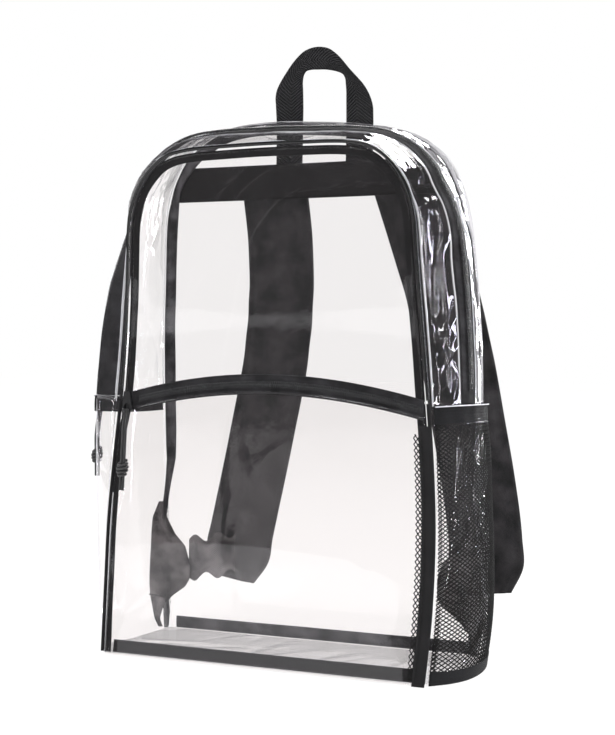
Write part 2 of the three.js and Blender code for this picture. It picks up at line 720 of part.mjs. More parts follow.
// Zip sliders: each is a plate with an eye that holds its doubled pull cord
const strandShift = pullCordRadius + gap / 2;
const eyeRadius = 2 * pullCordRadius + gap / 2 + gap;
const sliderHalf = eyeRadius + sliderRim;
function sliderPlate() {
  const top = sliderLength / 2;
  const plate = new THREE.Shape([
    new THREE.Vector2(-sliderHalf, -top + sliderRim),
    new THREE.Vector2(-sliderHalf + sliderRim, -top),
    new THREE.Vector2(sliderHalf - sliderRim, -top),
    new THREE.Vector2(sliderHalf, -top + sliderRim),
    new THREE.Vector2(sliderHalf - sliderRim, top),
    new THREE.Vector2(-sliderHalf + sliderRim, top),
  ]);
  const eye = new THREE.Path();
  eye.absarc(0, -top + sliderRim + eyeRadius, eyeRadius, 0, 2 * Math.PI, true);
  plate.holes.push(eye);
  return new THREE.ExtrudeGeometry(plate, {
    depth: sliderThickness,
    bevelEnabled: false,
    curveSegments: 10,
  });
}

// Stands a slider on a place, with its eye hanging down and its face outward, and returns its eye
function addSlider(name, place, outward) {
  const mesh = addPiece(name, sliderPlate(), "slider");
  const up = new THREE.Vector3(0, 0, 1).addScaledVector(outward, -outward.z).normalize();
  const across = up.clone().cross(outward).normalize();
  mesh.applyMatrix4(new THREE.Matrix4().makeBasis(across, up, outward).setPosition(place));
  const eyeRise = -sliderLength / 2 + sliderRim + eyeRadius;
  const eye = place.clone().addScaledVector(up, eyeRise);
  return { eye: eye.addScaledVector(outward, sliderThickness / 2), across, outward };
}

// A doubled pull cord of two strands from a slider's eye, with a wrapped knot round both
function addPull(name, slider, hangAt) {
  const start = slider.eye;
  const out = sliderThickness / 2 + pullCordRadius + 4 * gap;
  const line = [start, start.clone().addScaledVector(slider.outward, out)];
  const drops = [0.14, 0.3, 0.5, 0.72, 0.86, 1];
  for (const drop of drops) {
    line.push(hangAt(start.z - drop * pullLength));
  }
  for (const [letter, side] of [["a", -1], ["b", 1]]) {
    const shift = slider.across.clone().setZ(0).normalize().multiplyScalar(side * strandShift);
    const strand = smooth(line.map((point) => point.clone().add(shift)));
    addPiece(`${name}_strand_${letter}`, tube(strand, pullCordRadius, 8, 11), "cord");
  }
  const inner = eyeRadius;
  const half = pullKnotLength / 2;
  const sleeve = new THREE.LatheGeometry([
    new THREE.Vector2(inner, -half),
    new THREE.Vector2(inner + 0.7 * pullKnotWall, -half),
    new THREE.Vector2(inner + pullKnotWall, 0),
    new THREE.Vector2(inner + 0.7 * pullKnotWall, half),
    new THREE.Vector2(inner, half),
    new THREE.Vector2(inner, -half),
  ], 10);
  const knot = addPiece(`${name}_knot`, sleeve, "cord");
  const middle = hangAt(start.z - pullKnotDrop);
  const above = hangAt(start.z - pullKnotDrop + half);
  knot.position.copy(middle);
  knot.quaternion.setFromUnitVectors(new THREE.Vector3(0, 1, 0), above.sub(middle).normalize());
}

// The pocket zip's slider waits at the left end of its arch, over the pocket wall
const pullStandOff = eyeRadius + pullKnotWall + 4 * gap;
const pocketSliderAcross = (sliderHalf + seamInset + gap) / (baseWidth / 2) - 1;
const pocketSliderLevel = 3 * gap + tape + coilThickness;
const pocketPlace = onFrontArch(pocketSliderAcross, 0, seamInset, pocketSliderLevel);
const pocketSlider = addSlider("pocket_slider", pocketPlace, new THREE.Vector3(0, -1, 0));
addPull("pocket_pull", pocketSlider, (height) => {
  const top = pocketZipHeight(pocketSliderAcross) - pocketMouthDrop;
  const rise = Math.min(1, height / top);
  const face = frontFace(pocketPlace.x, height) - vinyl;
  const off = pocketGapAt((1 + pocketSliderAcross) / 2, rise) + pullStandOff;
  return new THREE.Vector3(pocketPlace.x, face - off, height);
});

// The main zip's slider waits at the foot of the zip on the left side, and its pull hangs free
const mainSliderRun = -runAtHeight(bandHeight + sliderLength / 2 - sliderLap);
const mainSliderLevel = 3 * gap + coilThickness;
const mainPlace = offGusset(mainSliderRun, zipDepthShare, mainSliderLevel);
const mainOutward = gussetNormal(mainSliderRun, zipDepthShare).setZ(0).normalize();
const mainSlider = addSlider("main_slider", mainPlace, mainOutward);
const mainHang = mainPlace.clone().addScaledVector(mainOutward, sliderThickness + pullStandOff);
addPull("main_pull", mainSlider, (height) => {
  const drop = (mainSlider.eye.z - height) / pullLength;
  return new THREE.Vector3(mainHang.x, mainHang.y - pullDrift * Math.min(1, 2 * drop), height);
});

export default bag;
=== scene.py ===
# %% [markdown]
# # A clear stadium backpack
# This lesson dresses a finished set of solids as a see-through vinyl backpack with black trim.
# The solids come from the frame: each one is a named node at its real size, in metres.
# We never move them. A solid whose form is right gets a better finish, and a plain one is
# replaced by a finer piece that is built over it.

# %% Load the frame
import math
import bmesh
import bpy
import numpy as np
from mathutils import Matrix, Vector


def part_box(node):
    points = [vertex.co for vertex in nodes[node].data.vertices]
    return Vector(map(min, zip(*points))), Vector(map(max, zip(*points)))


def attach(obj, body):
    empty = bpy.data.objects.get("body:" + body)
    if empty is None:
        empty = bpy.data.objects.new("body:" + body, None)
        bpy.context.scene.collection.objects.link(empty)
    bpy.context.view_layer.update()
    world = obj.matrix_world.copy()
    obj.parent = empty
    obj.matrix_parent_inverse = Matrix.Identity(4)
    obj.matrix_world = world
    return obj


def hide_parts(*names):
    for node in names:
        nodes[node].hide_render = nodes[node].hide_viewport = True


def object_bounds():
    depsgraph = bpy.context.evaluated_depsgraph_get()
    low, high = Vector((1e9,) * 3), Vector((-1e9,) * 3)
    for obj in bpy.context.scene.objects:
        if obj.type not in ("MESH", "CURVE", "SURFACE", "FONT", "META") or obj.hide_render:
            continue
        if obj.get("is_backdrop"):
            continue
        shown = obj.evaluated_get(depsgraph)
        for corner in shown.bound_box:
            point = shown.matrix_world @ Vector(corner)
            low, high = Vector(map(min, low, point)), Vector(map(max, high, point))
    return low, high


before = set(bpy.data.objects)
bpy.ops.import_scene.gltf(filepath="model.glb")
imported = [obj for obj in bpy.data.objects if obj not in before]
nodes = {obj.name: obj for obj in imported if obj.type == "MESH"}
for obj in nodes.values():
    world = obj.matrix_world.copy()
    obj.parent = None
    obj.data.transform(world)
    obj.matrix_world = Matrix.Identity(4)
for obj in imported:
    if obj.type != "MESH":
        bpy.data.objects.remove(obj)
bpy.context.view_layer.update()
scene = bpy.context.scene
MM = 0.001

# %% [markdown]
# ## The camera
# The photograph was taken from the front and a little to the right, level with the middle of
# the bag, with a rather long lens. The place and the lens were found by matching the bag's
# paired seams. We set them as real distances, so the perspective is the real one.

# %% Camera
camera_turn = math.radians(25.24)
camera_pitch = math.radians(1.45)
camera_place = Vector((550.4, -1130.2, 265.0)) * MM
focal_pixels = 1557
frame_height_pixels = 735

camera_data = bpy.data.cameras.new("camera")
camera_data.sensor_width = 36
camera_data.lens = focal_pixels * camera_data.sensor_width / frame_height_pixels
camera_data.clip_end = 50
camera = bpy.data.objects.new("camera", camera_data)
scene.collection.objects.link(camera)
camera.location = camera_place
look = Vector((
    -math.sin(camera_turn) * math.cos(camera_pitch),
    math.cos(camera_turn) * math.cos(camera_pitch),
    -math.sin(camera_pitch),
))
camera.rotation_mode = "QUATERNION"
camera.rotation_quaternion = look.to_track_quat("-Z", "Y")
scene.camera = camera
print("lens, mm:", round(camera_data.lens, 1))

# %% [markdown]
# ## Reading a solid
# Most pieces of a bag are cut from flat stuff. In the frame each is a thin wall on a regular
# grid, with an outer skin, an inner skin and a rim. We can read that grid back: join the
# corners, split the mesh where it bends sharply, and keep the skin that faces the way we ask.
# Counting steps from two of its sides gives every corner its place in the rows and columns.

# %% Helpers: join the corners and find a skin
SHARP = math.radians(50)

def merged(node):
    mesh = bmesh.new()
    mesh.from_mesh(nodes[node].data)
    bmesh.ops.remove_doubles(mesh, verts=mesh.verts, dist=1e-6)
    mesh.normal_update()
    mesh.faces.ensure_lookup_table()
    mesh.verts.ensure_lookup_table()
    return mesh

def skin_faces(mesh, outward):
    """The smooth group of faces that looks outward most."""
    left = set(mesh.faces)
    best, best_score = None, -1e9
    while left:
        group, wave = set(), [left.pop()]
        while wave:
            face = wave.pop()
            group.add(face)
            for edge in face.edges:
                if len(edge.link_faces) == 2 and edge.calc_face_angle(0) < SHARP:
                    for other in edge.link_faces:
                        if other in left:
                            left.discard(other)
                            wave.append(other)
        score = sum(f.calc_area() * f.normal.dot(outward(f.calc_center_median())) for f in group)
        if score > best_score:
            best, best_score = group, score
    return best

# %% Helper: put the skin's corners into rows and columns
def walk_boundary(group, start):
    """The boundary corners in order, from start round to start again."""
    nexts = {}
    for face in group:
        for loop in face.loops:
            others = [f for f in loop.edge.link_faces if f in group]
            if len(others) == 1:
                nexts[loop.vert] = loop.link_loop_next.vert
    path = [start]
    while nexts[path[-1]] is not start:
        path.append(nexts[path[-1]])
    return path

def steps_from(sources, group):
    """How many edges each corner is away from a side."""
    near = {}
    for face in group:
        for vert in face.verts:
            near.setdefault(vert, set()).update(v for v in face.verts if v is not vert)
    away = {v: 0 for v in sources}
    wave = list(sources)
    while wave:
        following = []
        for vert in wave:
            for other in near[vert]:
                if other not in away:
                    away[other] = away[vert] + 1
                    following.append(other)
        wave = following
    return away

def read_grid(node, outward, start, along):
    """Points of the skin as an array [column, row, xyz], first corner by start, columns along."""
    if not callable(outward):
        fixed = Vector(outward)
        outward = lambda place: fixed
    mesh = merged(node)
    group = skin_faces(mesh, outward)
    count = {}
    for face in group:
        for vert in face.verts:
            count[vert] = count.get(vert, 0) + 1
    first = next(iter(v for v in count if any(
        sum(f in group for f in e.link_faces) == 1 for e in v.link_edges)))
    ring = walk_boundary(group, first)
    corners = [v for v in ring if count[v] < 3]
    assert len(corners) == 4, (node, len(corners))
    origin = min(corners, key=lambda v: v.co.dot(Vector(start)))
    ring = walk_boundary(group, origin)
    spots = sorted(ring.index(v) for v in corners)
    sides = [ring[a:b + 1] for a, b in zip(spots, spots[1:] + [len(ring)])]
    sides[3].append(origin)
    after, before = sides[0][-1], sides[3][0]
    wanted = Vector(along)
    if (after.co - origin.co).dot(wanted) > (before.co - origin.co).dot(wanted):
        row_side, column_side = sides[0], sides[3]
    else:
        row_side, column_side = sides[3], sides[0]
    columns = steps_from(column_side, group)
    rows = steps_from(row_side, group)
    grid = np.zeros((len(row_side), len(column_side), 3))
    for vert in count:
        grid[columns[vert], rows[vert]] = vert.co
    mesh.free()
    return grid

# %% [markdown]
# ## A smooth cloth through the grid
# The grid is coarse, so we run a smooth curve through its columns and its rows. The result is
# a surface that can be asked for a point and a normal at any two shares, u along it and v
# across it. Folds, ribs, teeth and threads are all laid on it that way.

# %% Helper: a surface that passes through a grid
def blend_weights(count, shares):
    """Rows of weights that pass a smooth curve through count points."""
    places = np.clip(np.asarray(shares, float), 0, 1) * (count - 1)
    low = np.minimum(places.astype(int), count - 2)
    f = places - low
    parts = [
        -0.5 * f + f ** 2 - 0.5 * f ** 3,
        1 - 2.5 * f ** 2 + 1.5 * f ** 3,
        0.5 * f + 2 * f ** 2 - 1.5 * f ** 3,
        -0.5 * f ** 2 + 0.5 * f ** 3,
    ]
    weights = np.zeros((len(places), count))
    rows = np.arange(len(places))
    for offset, part in zip((-1, 0, 1, 2), parts):
        index = low + offset
        inside = (index >= 0) & (index < count)
        np.add.at(weights, (rows[inside], index[inside]), part[inside])
        under, over = index < 0, index >= count
        np.add.at(weights, (rows[under], np.zeros(under.sum(), int)), 2 * part[under])
        np.add.at(weights, (rows[under], np.ones(under.sum(), int)), -part[under])
        np.add.at(weights, (rows[over], np.full(over.sum(), count - 1)), 2 * part[over])
        np.add.at(weights, (rows[over], np.full(over.sum(), count - 2)), -part[over])
    return weights

def unit(vectors):
    return vectors / np.maximum(np.linalg.norm(vectors, axis=-1), 1e-12)[..., None]

def run_along(path):
    """The length in metres from the path's start to each of its points."""
    return np.concatenate([[0], np.cumsum(np.linalg.norm(np.diff(path, axis=0), axis=1))])

class Surface:
    """A smooth surface through a node's grid, with its normals facing outward."""

    nudge = 1e-3

    def __init__(self, node, outward, start, along):
        self.grid = read_grid(node, outward, start, along)
        self.node = node
        middle = self.at([0.5], [0.5])[0]
        out = outward(Vector(middle)) if callable(outward) else Vector(outward)
        self.turn = 1
        self.turn = 1 if self.normal([0.5], [0.5])[0] @ np.array(out) > 0 else -1

    def at(self, u, v):
        """A point for each pair of the shares u and v."""
        wu, wv = (blend_weights(self.grid.shape[k], share) for k, share in enumerate((u, v)))
        return np.einsum("ki,ijc,kj->kc", wu, self.grid, wv)

    def every(self, u, v):
        """A point for every combination of the shares u and v."""
        wu, wv = (blend_weights(self.grid.shape[k], share) for k, share in enumerate((u, v)))
        return np.einsum("ki,ijc,lj->klc", wu, self.grid, wv, optimize=True)

    def outward(self, points, u, v):
        """The normals, from short steps along and across."""
        u, v, small = np.asarray(u, float), np.asarray(v, float), self.nudge
        du = points(np.minimum(u + small, 1), v) - points(np.maximum(u - small, 0), v)
        dv = points(u, np.minimum(v + small, 1)) - points(u, np.maximum(v - small, 0))
        return self.turn * unit(np.cross(du, dv))

    def normal(self, u, v):
        return self.outward(self.at, u, v)

    def spread(self, u, v):
        """Points and normals over every combination of the shares."""
        return self.every(u, v), self.outward(self.every, u, v)

    def frames(self, u, v):
        """Points, and the directions along, across and outward there."""
        small = self.nudge
        ahead = unit(self.at(np.minimum(u + small, 1), v) - self.at(np.maximum(u - small, 0), v))
        out = self.normal(u, v)
        return self.at(u, v), ahead, np.cross(out, ahead), out

    def even(self, count, along=True, other=0.5, fine=600):
        """Shares equally far apart in metres along u, or across it, and the whole length."""
        share = np.linspace(0, 1, fine)
        fixed = np.full(fine, other)
        run = run_along(self.at(share, fixed) if along else self.at(fixed, share))
        return np.interp(np.linspace(0, run[-1], count), run, share), run[-1]

    def size(self):
        """Lengths along the middle row and column, in metres."""
        return self.even(2)[1], self.even(2, along=False)[1]

# %% Read the surfaces
def from_axis(place):
    """Outward from the bag's upright middle line, and from its crown."""
    return Vector((place.x, 0, max(0.0, place.z - 0.25) * 1.2)).normalized()

FRONT, BACK, LEFT, RIGHT, DOWN = (0, -1, 0), (0, 1, 0), (-1, 0, 0), (1, 0, 0), (0, 0, -1)
foot_left, foot_front, left_front = (1, 0, 1), (0, 1, 1), (1, 1, 0)
left_end, left_foot_end = (1, 0, 0), (1, 0, 0.2)
across_bag, up_bag = (1, 0, 0), (0, 0, 1)
surfaces = {}
for outward, start, along, names in [
        (FRONT, foot_left, across_bag,
         "front_panel pocket_panel pocket_zip_tape pocket_zip_coil base_binding_back"),
        (BACK, foot_left, across_bag, "back_panel base_binding_front yoke"),
        (from_axis, left_front, across_bag,
         "gusset_front gusset_rear main_zip_tape main_zip_coil"),
        (LEFT, foot_front, up_bag, "side_panel_left side_band_left"),
        (RIGHT, foot_front, up_bag,
         "side_panel_right side_band_right net_pocket strap_link_right"),
        (DOWN, left_front, across_bag, "base_panel"),
        (BACK, left_foot_end, across_bag, "front_binding"),
        (FRONT, left_foot_end, across_bag, "back_binding"),
        (FRONT, foot_left, up_bag, "net_binding"),
        (BACK, left_end, across_bag, "handle"),
        (BACK, foot_left, up_bag, "strap_left strap_right strap_link_left")]:
    for name in names.split():
        surfaces[name] = Surface(name, outward, start, along)
        long_side, short_side = surfaces[name].size()
        print(f"{name}: {long_side / MM:.0f} by {short_side / MM:.0f} mm")

# %% [markdown]
# ## Making meshes
# Two forms make nearly everything on this bag. One is a closed sheet: an outer and an inner
# skin with a rim between them. The other is a tube along a line, for cord, coil and net.
# Both get a map in metres, so that a weave keeps its real pitch on every piece.

# %% Helpers: meshes from grids and lines
def new_piece(name, points, faces, uvs, material):
    mesh = bpy.data.meshes.new(name)
    mesh.from_pydata([tuple(p) for p in points], [], faces)
    layer = mesh.uv_layers.new(name="UVMap")
    corner = np.zeros(len(mesh.loops), int)
    mesh.loops.foreach_get("vertex_index", corner)
    layer.data.foreach_set("uv", np.asarray(uvs, float)[corner].ravel())
    work = bmesh.new()
    work.from_mesh(mesh)
    bmesh.ops.recalc_face_normals(work, faces=work.faces)
    work.to_mesh(mesh)
    work.free()
    mesh.polygons.foreach_set("use_smooth", [True] * len(mesh.polygons))
    mesh.materials.append(material)
    piece = bpy.data.objects.new(name, mesh)
    scene.collection.objects.link(piece)
    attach(piece, "root")
    return piece

def stand_for(piece, slot, *replaced):
    if replaced:
        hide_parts(*replaced)

def declare_sheet(surface):
    """Samples the surface on a grid; the points are not used."""
    place = surface.every(np.linspace(0, 1, 120), np.linspace(0, 1, 60))

def closed_sheet(name, outer, inner, material, run_u, run_v):
    """Two grids of points [i, j, xyz] joined by a rim."""
    columns, rows = outer.shape[:2]
    number = np.arange(2 * columns * rows).reshape(2, columns, rows)
    faces = []
    for skin in number:
        quads = np.stack([skin[:-1, :-1], skin[1:, :-1], skin[1:, 1:], skin[:-1, 1:]], axis=-1)
        faces += quads.reshape(-1, 4).tolist()
    for edge in (number[:, 0, :], number[:, -1, :], number[:, :, 0], number[:, :, -1]):
        quads = np.stack([edge[0, :-1], edge[0, 1:], edge[1, 1:], edge[1, :-1]], axis=-1)
        faces += quads.tolist()
    uv = np.stack(np.meshgrid(run_u, run_v, indexing="ij"), axis=-1).reshape(-1, 2)
    points = np.concatenate([outer.reshape(-1, 3), inner.reshape(-1, 3)])
    return new_piece(name, points, faces, np.concatenate([uv, uv]), material)

FINE = 400

def cloth(name, surface, material, step, thickness, lift=0, rise=None, part=(0, 1, 0, 1),
          move=None):
    """A closed sheet over a part of a surface; rise(s, t) lifts it, with s and t in metres, and
    move(points) may draw the points aside."""
    u0, u1, v0, v1 = part
    fine_u, fine_v = 2 * FINE, FINE
    all_u, length = surface.even(fine_u)
    all_v, width = surface.even(fine_v, along=False)
    columns = max(3, round(length * (u1 - u0) / step) + 1)
    rows = max(3, round(width * (v1 - v0) / step) + 1)
    run_u = np.linspace(u0, u1, columns)
    run_v = np.linspace(v0, v1, rows)
    u = np.interp(run_u, np.linspace(0, 1, fine_u), all_u)
    v = np.interp(run_v, np.linspace(0, 1, fine_v), all_v)
    place, normal = surface.spread(u, v)
    s, t = np.meshgrid(run_u * length, run_v * width, indexing="ij")
    height = np.full(s.shape, float(lift)) + (rise(s, t) if rise else 0)
    if move:
        place = move(place)
    outer = place + normal * height[:, :, None]
    inner = outer - normal * thickness
    return closed_sheet(name, outer, inner, material, run_u * length, run_v * width)

def smooth_line(points, count):
    """The line through the points, at count places equally far apart."""
    points = np.asarray(points, float)
    fine = blend_weights(len(points), np.linspace(0, 1, 40 * len(points))) @ points
    run = run_along(fine)
    want = np.linspace(0, run[-1], count)
    return np.stack([np.interp(want, run, fine[:, k]) for k in range(3)], axis=1)

def tube_mesh(line, radius, sides, first=0):
    """Points, faces and map of a tube with closed ends, numbered from first."""
    line = np.asarray(line, float)
    count = len(line)
    ahead = unit(np.gradient(line, axis=0))
    side = np.cross(ahead[0], (0, 0, 1) if abs(ahead[0][2]) < 0.9 else (1, 0, 0))
    sideways = np.zeros_like(line)
    for index in range(count):
        side = side - ahead[index] * (side @ ahead[index])
        side = side / np.linalg.norm(side)
        sideways[index] = side
    other = np.cross(ahead, sideways)
    angle = np.linspace(0, 2 * np.pi, sides, endpoint=False)
    wide = np.broadcast_to(np.asarray(radius, float), (count,))
    ring = (np.cos(angle)[None, :, None] * sideways[:, None, :]
            + np.sin(angle)[None, :, None] * other[:, None, :])
    points = (line[:, None, :] + ring * wide[:, None, None]).reshape(-1, 3)
    number = first + np.arange(count * sides).reshape(count, sides)
    turned = np.roll(number, -1, axis=1)
    quads = np.stack([number[:-1], turned[:-1], turned[1:], number[1:]], axis=-1)
    faces = quads.reshape(-1, 4).tolist() + [number[0].tolist()[::-1], number[-1].tolist()]
    run = run_along(line)
    around = angle * float(wide.mean())
    uv = np.stack(np.meshgrid(run, around, indexing="ij"), axis=-1).reshape(-1, 2)
    return points, faces, uv

def tubes(name, lines, radius, sides, material):
    """One piece of several tubes."""
    points, faces, uvs, first = [], [], [], 0
    for line in lines:
        some_points, some_faces, some_uvs = tube_mesh(line, radius, sides, first)
        points.append(some_points)
        faces += some_faces
        uvs.append(some_uvs)
        first += len(some_points)
    return new_piece(name, np.concatenate(points), faces, np.concatenate(uvs), material)

# %% Helper: find the middle line of a round solid
def middle_line(node, sides, near):
    """Centres of a tube's rings, from the end by the point near."""
    mesh = merged(node)
    near = Vector(near)
    ring = sorted(mesh.verts, key=lambda v: (v.co - near).length)[:sides]
    seen, centres = set(ring), []
    while ring:
        centres.append(sum((v.co for v in ring), Vector()) / len(ring))
        ring = [v for v in {e.other_vert(v) for v in ring for e in v.link_edges} if v not in seen]
        seen.update(ring)
    mesh.free()
    return np.array([tuple(c) for c in centres])

# %% [markdown]
# ## Finishes
# Every finish is a small web of nodes. It reads the map in metres, turns it into threads or
# wrinkles, and lets them change the colour a little and tilt the surface, so that light
# breaks on them as it does on real cloth. One helper adds a node and fills its sockets.

# %% Helpers for shader nodes
def add_node(tree, kind, inputs=None, **settings):
    node = tree.nodes.new("ShaderNode" + kind)
    for key, value in settings.items():
        setattr(node, key, value)
    for key, value in (inputs or {}).items():
        if isinstance(value, bpy.types.NodeSocket):
            tree.links.new(value, node.inputs[key])
        else:
            node.inputs[key].default_value = value
    return node

def sum_up(tree, operation, first, second=0.0):
    return add_node(tree, "Math", {0: first, 1: second}, operation=operation).outputs[0]

def new_material(name):
    material = bpy.data.materials.new(name)
    material.use_nodes = True
    material.node_tree.nodes.clear()
    return material, material.node_tree

def metres(tree):
    """The map's two lengths, along and across, as sockets."""
    place = add_node(tree, "UVMap", uv_map="UVMap")
    split = add_node(tree, "SeparateXYZ", {0: place.outputs[0]})
    return place.outputs[0], split.outputs[0], split.outputs[1]

def wave(tree, length, pitch):
    """A sine wave of a socket in metres, from -1 to 1."""
    return sum_up(tree, "SINE", sum_up(tree, "MULTIPLY", length, 2 * math.pi / pitch))

# %% [markdown]
# ## Clear vinyl
# The walls are cut from clear soft vinyl about half a millimetre thick. Most light goes
# straight through it, a few parts in a hundred come back from each face, and much more does
# at a low angle. A trace of milkiness and fine wrinkles show that it is plastic and not glass.
# The share that comes back is worked out from the facing value with the usual fifth power.

# %% Material: clear vinyl
def clear_vinyl(name, haze, wrinkle, edge=0.0, width=1.0, tint=(0.993, 0.987, 0.986)):
    """haze is the white diffuse share, wrinkle the bump's depth, edge the white diffuse share at
    both rims, a painted highlight of the cut edge.
    """
    material, tree = new_material(name)
    place, along, across = metres(tree)
    ripple = add_node(tree, "TexNoise", {
        "Vector": place, "Scale": 40, "Detail": 2.5, "Roughness": 0.4, "Distortion": 0.9})
    bump = add_node(tree, "Bump", {"Height": ripple.outputs["Fac"], "Distance": wrinkle})
    facing = add_node(tree, "LayerWeight", {"Blend": 0.5, "Normal": bump.outputs[0]})
    gloss_share = sum_up(tree, "ADD", 0.026, sum_up(
        tree, "MULTIPLY", sum_up(tree, "POWER", facing.outputs["Facing"], 5.0), 0.95))
    gloss = add_node(tree, "BsdfGlossy", {"Color": (0.97, 0.965, 1, 1), "Roughness": 0.02,
                                          "Normal": bump.outputs[0]})
    clear = add_node(tree, "BsdfTransparent", {"Color": (*tint, 1)})
    # White diffuse for the vinyl's slight haze, and for the painted rim highlight below.
    haze_and_rim_highlight = add_node(tree, "BsdfDiffuse", {"Color": (0.86, 0.86, 0.88, 1), "Roughness": 1})
    # Near both rims the white diffuse rises to edge: a painted highlight in place of light caught at
    # the vinyl's cut edge.
    if edge:
        rim = sum_up(tree, "MINIMUM", across, sum_up(tree, "SUBTRACT", width, across))
        rim_highlight_share = add_node(tree, "MapRange", {
            "Value": rim, "From Min": 0.0008, "From Max": 0.0022, "To Min": edge, "To Max": haze},
            clamp=True).outputs[0]
        body = add_node(tree, "MixShader", {0: rim_highlight_share, 1: clear.outputs[0], 2: haze_and_rim_highlight.outputs[0]})
    else:
        body = add_node(tree, "MixShader", {0: haze, 1: clear.outputs[0], 2: haze_and_rim_highlight.outputs[0]})
    surface = add_node(tree, "MixShader", {0: gloss_share, 1: body.outputs[0], 2: gloss.outputs[0]})
    add_node(tree, "OutputMaterial", {"Surface": surface.outputs[0]})
    return material

# %% [markdown]
# ## Woven and knitted black stuff
# The trim is all near black, so the weave tells the pieces apart: twill on the bindings, a
# herringbone in the handle, a plain weave in the padding's cover, ribs in the elastic and in
# the zip's tape. The threads are mixed from two greys and worn a little by a slow noise.

# %% Material: fabric
def fabric(name, weave, pitch, dark, light, roughness=0.75, depth=0.15, wear=0.5, sheen=0.02,
           gloss=0.15):
    """weave is plain, twill, rib, cross_rib or herringbone; pitch and depth are in millimetres."""
    material, tree = new_material(name)
    place, along, across = metres(tree)
    pitch = pitch * MM
    if weave == "plain":
        height = sum_up(tree, "MULTIPLY", wave(tree, along, pitch), wave(tree, across, pitch))
    elif weave == "twill":
        height = wave(tree, sum_up(tree, "ADD", along, across), pitch)
    elif weave == "rib":
        height = wave(tree, along, pitch)
    elif weave == "cross_rib":
        height = wave(tree, across, pitch)
    else:
        band = sum_up(tree, "PINGPONG", across, 4 * pitch)
        height = wave(tree, sum_up(tree, "ADD", along, band), pitch)
    threads = add_node(tree, "TexNoise", {"Vector": place, "Scale": 900, "Detail": 2})
    worn = add_node(tree, "TexNoise", {"Vector": place, "Scale": 45, "Detail": 4})
    share = sum_up(tree, "ADD", 0.3, sum_up(tree, "MULTIPLY", height, 0.3))
    share = sum_up(tree, "ADD", share, sum_up(tree, "MULTIPLY", sum_up(
        tree, "SUBTRACT", worn.outputs["Fac"], 0.45), wear))
    share = sum_up(tree, "ADD", share, sum_up(tree, "MULTIPLY", sum_up(
        tree, "SUBTRACT", threads.outputs["Fac"], 0.5), 0.4))
    colour = add_node(tree, "ValToRGB", {0: share})
    colour.color_ramp.elements[0].color = (*dark, 1)
    colour.color_ramp.elements[1].color = (*light, 1)
    rough_height = sum_up(tree, "ADD", height, sum_up(tree, "MULTIPLY", threads.outputs["Fac"], 0.8))
    bump = add_node(tree, "Bump", {"Height": rough_height, "Strength": 1, "Distance": depth * MM})
    shader = add_node(tree, "BsdfPrincipled", {
        "Base Color": colour.outputs[0], "Roughness": roughness, "Normal": bump.outputs[0],
        "Specular IOR Level": gloss, "Sheen Weight": sheen, "Sheen Roughness": 0.4})
    add_node(tree, "OutputMaterial", {"Surface": shader.outputs[0]})
    return material

# %% Material: glossy black plastic and painted metal
def glossy_black(name, grey, roughness, grain, metal=0.0):
    """A smooth black with a fine unevenness; grain is the size of the spots in millimetres."""
    material, tree = new_material(name)
    place = add_node(tree, "TexCoord").outputs["Object"]
    spots = add_node(tree, "TexNoise", {"Vector": place, "Scale": 1 / (grain * MM), "Detail": 3})
    colour = add_node(tree, "ValToRGB", {0: spots.outputs["Fac"]})
    colour.color_ramp.elements[0].color = (grey * 0.6, grey * 0.6, grey * 0.65, 1)
    colour.color_ramp.elements[1].color = (grey * 1.6, grey * 1.6, grey * 1.7, 1)
    gloss = add_node(tree, "MapRange", {"Value": spots.outputs["Fac"], "To Min": roughness * 0.8,
                                        "To Max": roughness * 1.3})
    bump = add_node(tree, "Bump", {"Height": spots.outputs["Fac"], "Distance": 0.00008})
    shader = add_node(tree, "BsdfPrincipled", {
        "Base Color": colour.outputs[0], "Roughness": gloss.outputs[0], "Metallic": metal,
        "Normal": bump.outputs[0]})
    add_node(tree, "OutputMaterial", {"Surface": shader.outputs[0]})
    return material

# %% Mix the finishes
binding_cloth = fabric("binding cloth", "twill", 1.4, (0.005, 0.005, 0.0055), (0.045, 0.043, 0.046))
lining_cloth = fabric("back seam cloth", "twill", 1.4, (0.004, 0.004, 0.0045), (0.13, 0.125, 0.135),
                      wear=3.0)
gathered_cloth = fabric("gathered cloth", "twill", 1.6, (0.008, 0.0075, 0.008), (0.22, 0.205, 0.21),
                        wear=3.2)
tape_cloth = fabric("zip tape cloth", "rib", 0.9, (0.006, 0.006, 0.006), (0.075, 0.072, 0.08),
                    wear=1.6)
elastic_cloth = fabric("elastic cloth", "plain", 1.1, (0.005, 0.005, 0.006), (0.035, 0.035, 0.038))
webbing_cloth = fabric("webbing cloth", "herringbone", 2.8, (0.004, 0.004, 0.005),
                       (0.04, 0.039, 0.042), depth=0.3, sheen=0.05)
cover_cloth = fabric("strap cover cloth", "plain", 1.2, (0.006, 0.006, 0.0065),
                     (0.06, 0.056, 0.06), wear=1.8)
yoke_cloth = fabric("yoke cloth", "plain", 0.9, (0.005, 0.0045, 0.005), (0.018, 0.016, 0.017))
net_thread = fabric("net thread", "rib", 0.6, (0.006, 0.006, 0.006), (0.03, 0.03, 0.03))
stitch_thread = fabric("stitch thread", "twill", 0.5, (0.01, 0.01, 0.01), (0.07, 0.07, 0.07))
cord_braid = fabric("cord braid", "twill", 1.6, (0.004, 0.004, 0.004), (0.05, 0.05, 0.055),
                    roughness=0.3, gloss=0.7, wear=0.2)
coil_plastic = glossy_black("zip coil plastic", 0.035, 0.25, 0.6)
piping_plastic = glossy_black("piping plastic", 0.012, 0.16, 3)
slider_paint = glossy_black("slider paint", 0.02, 0.25, 0.4, metal=0.3)

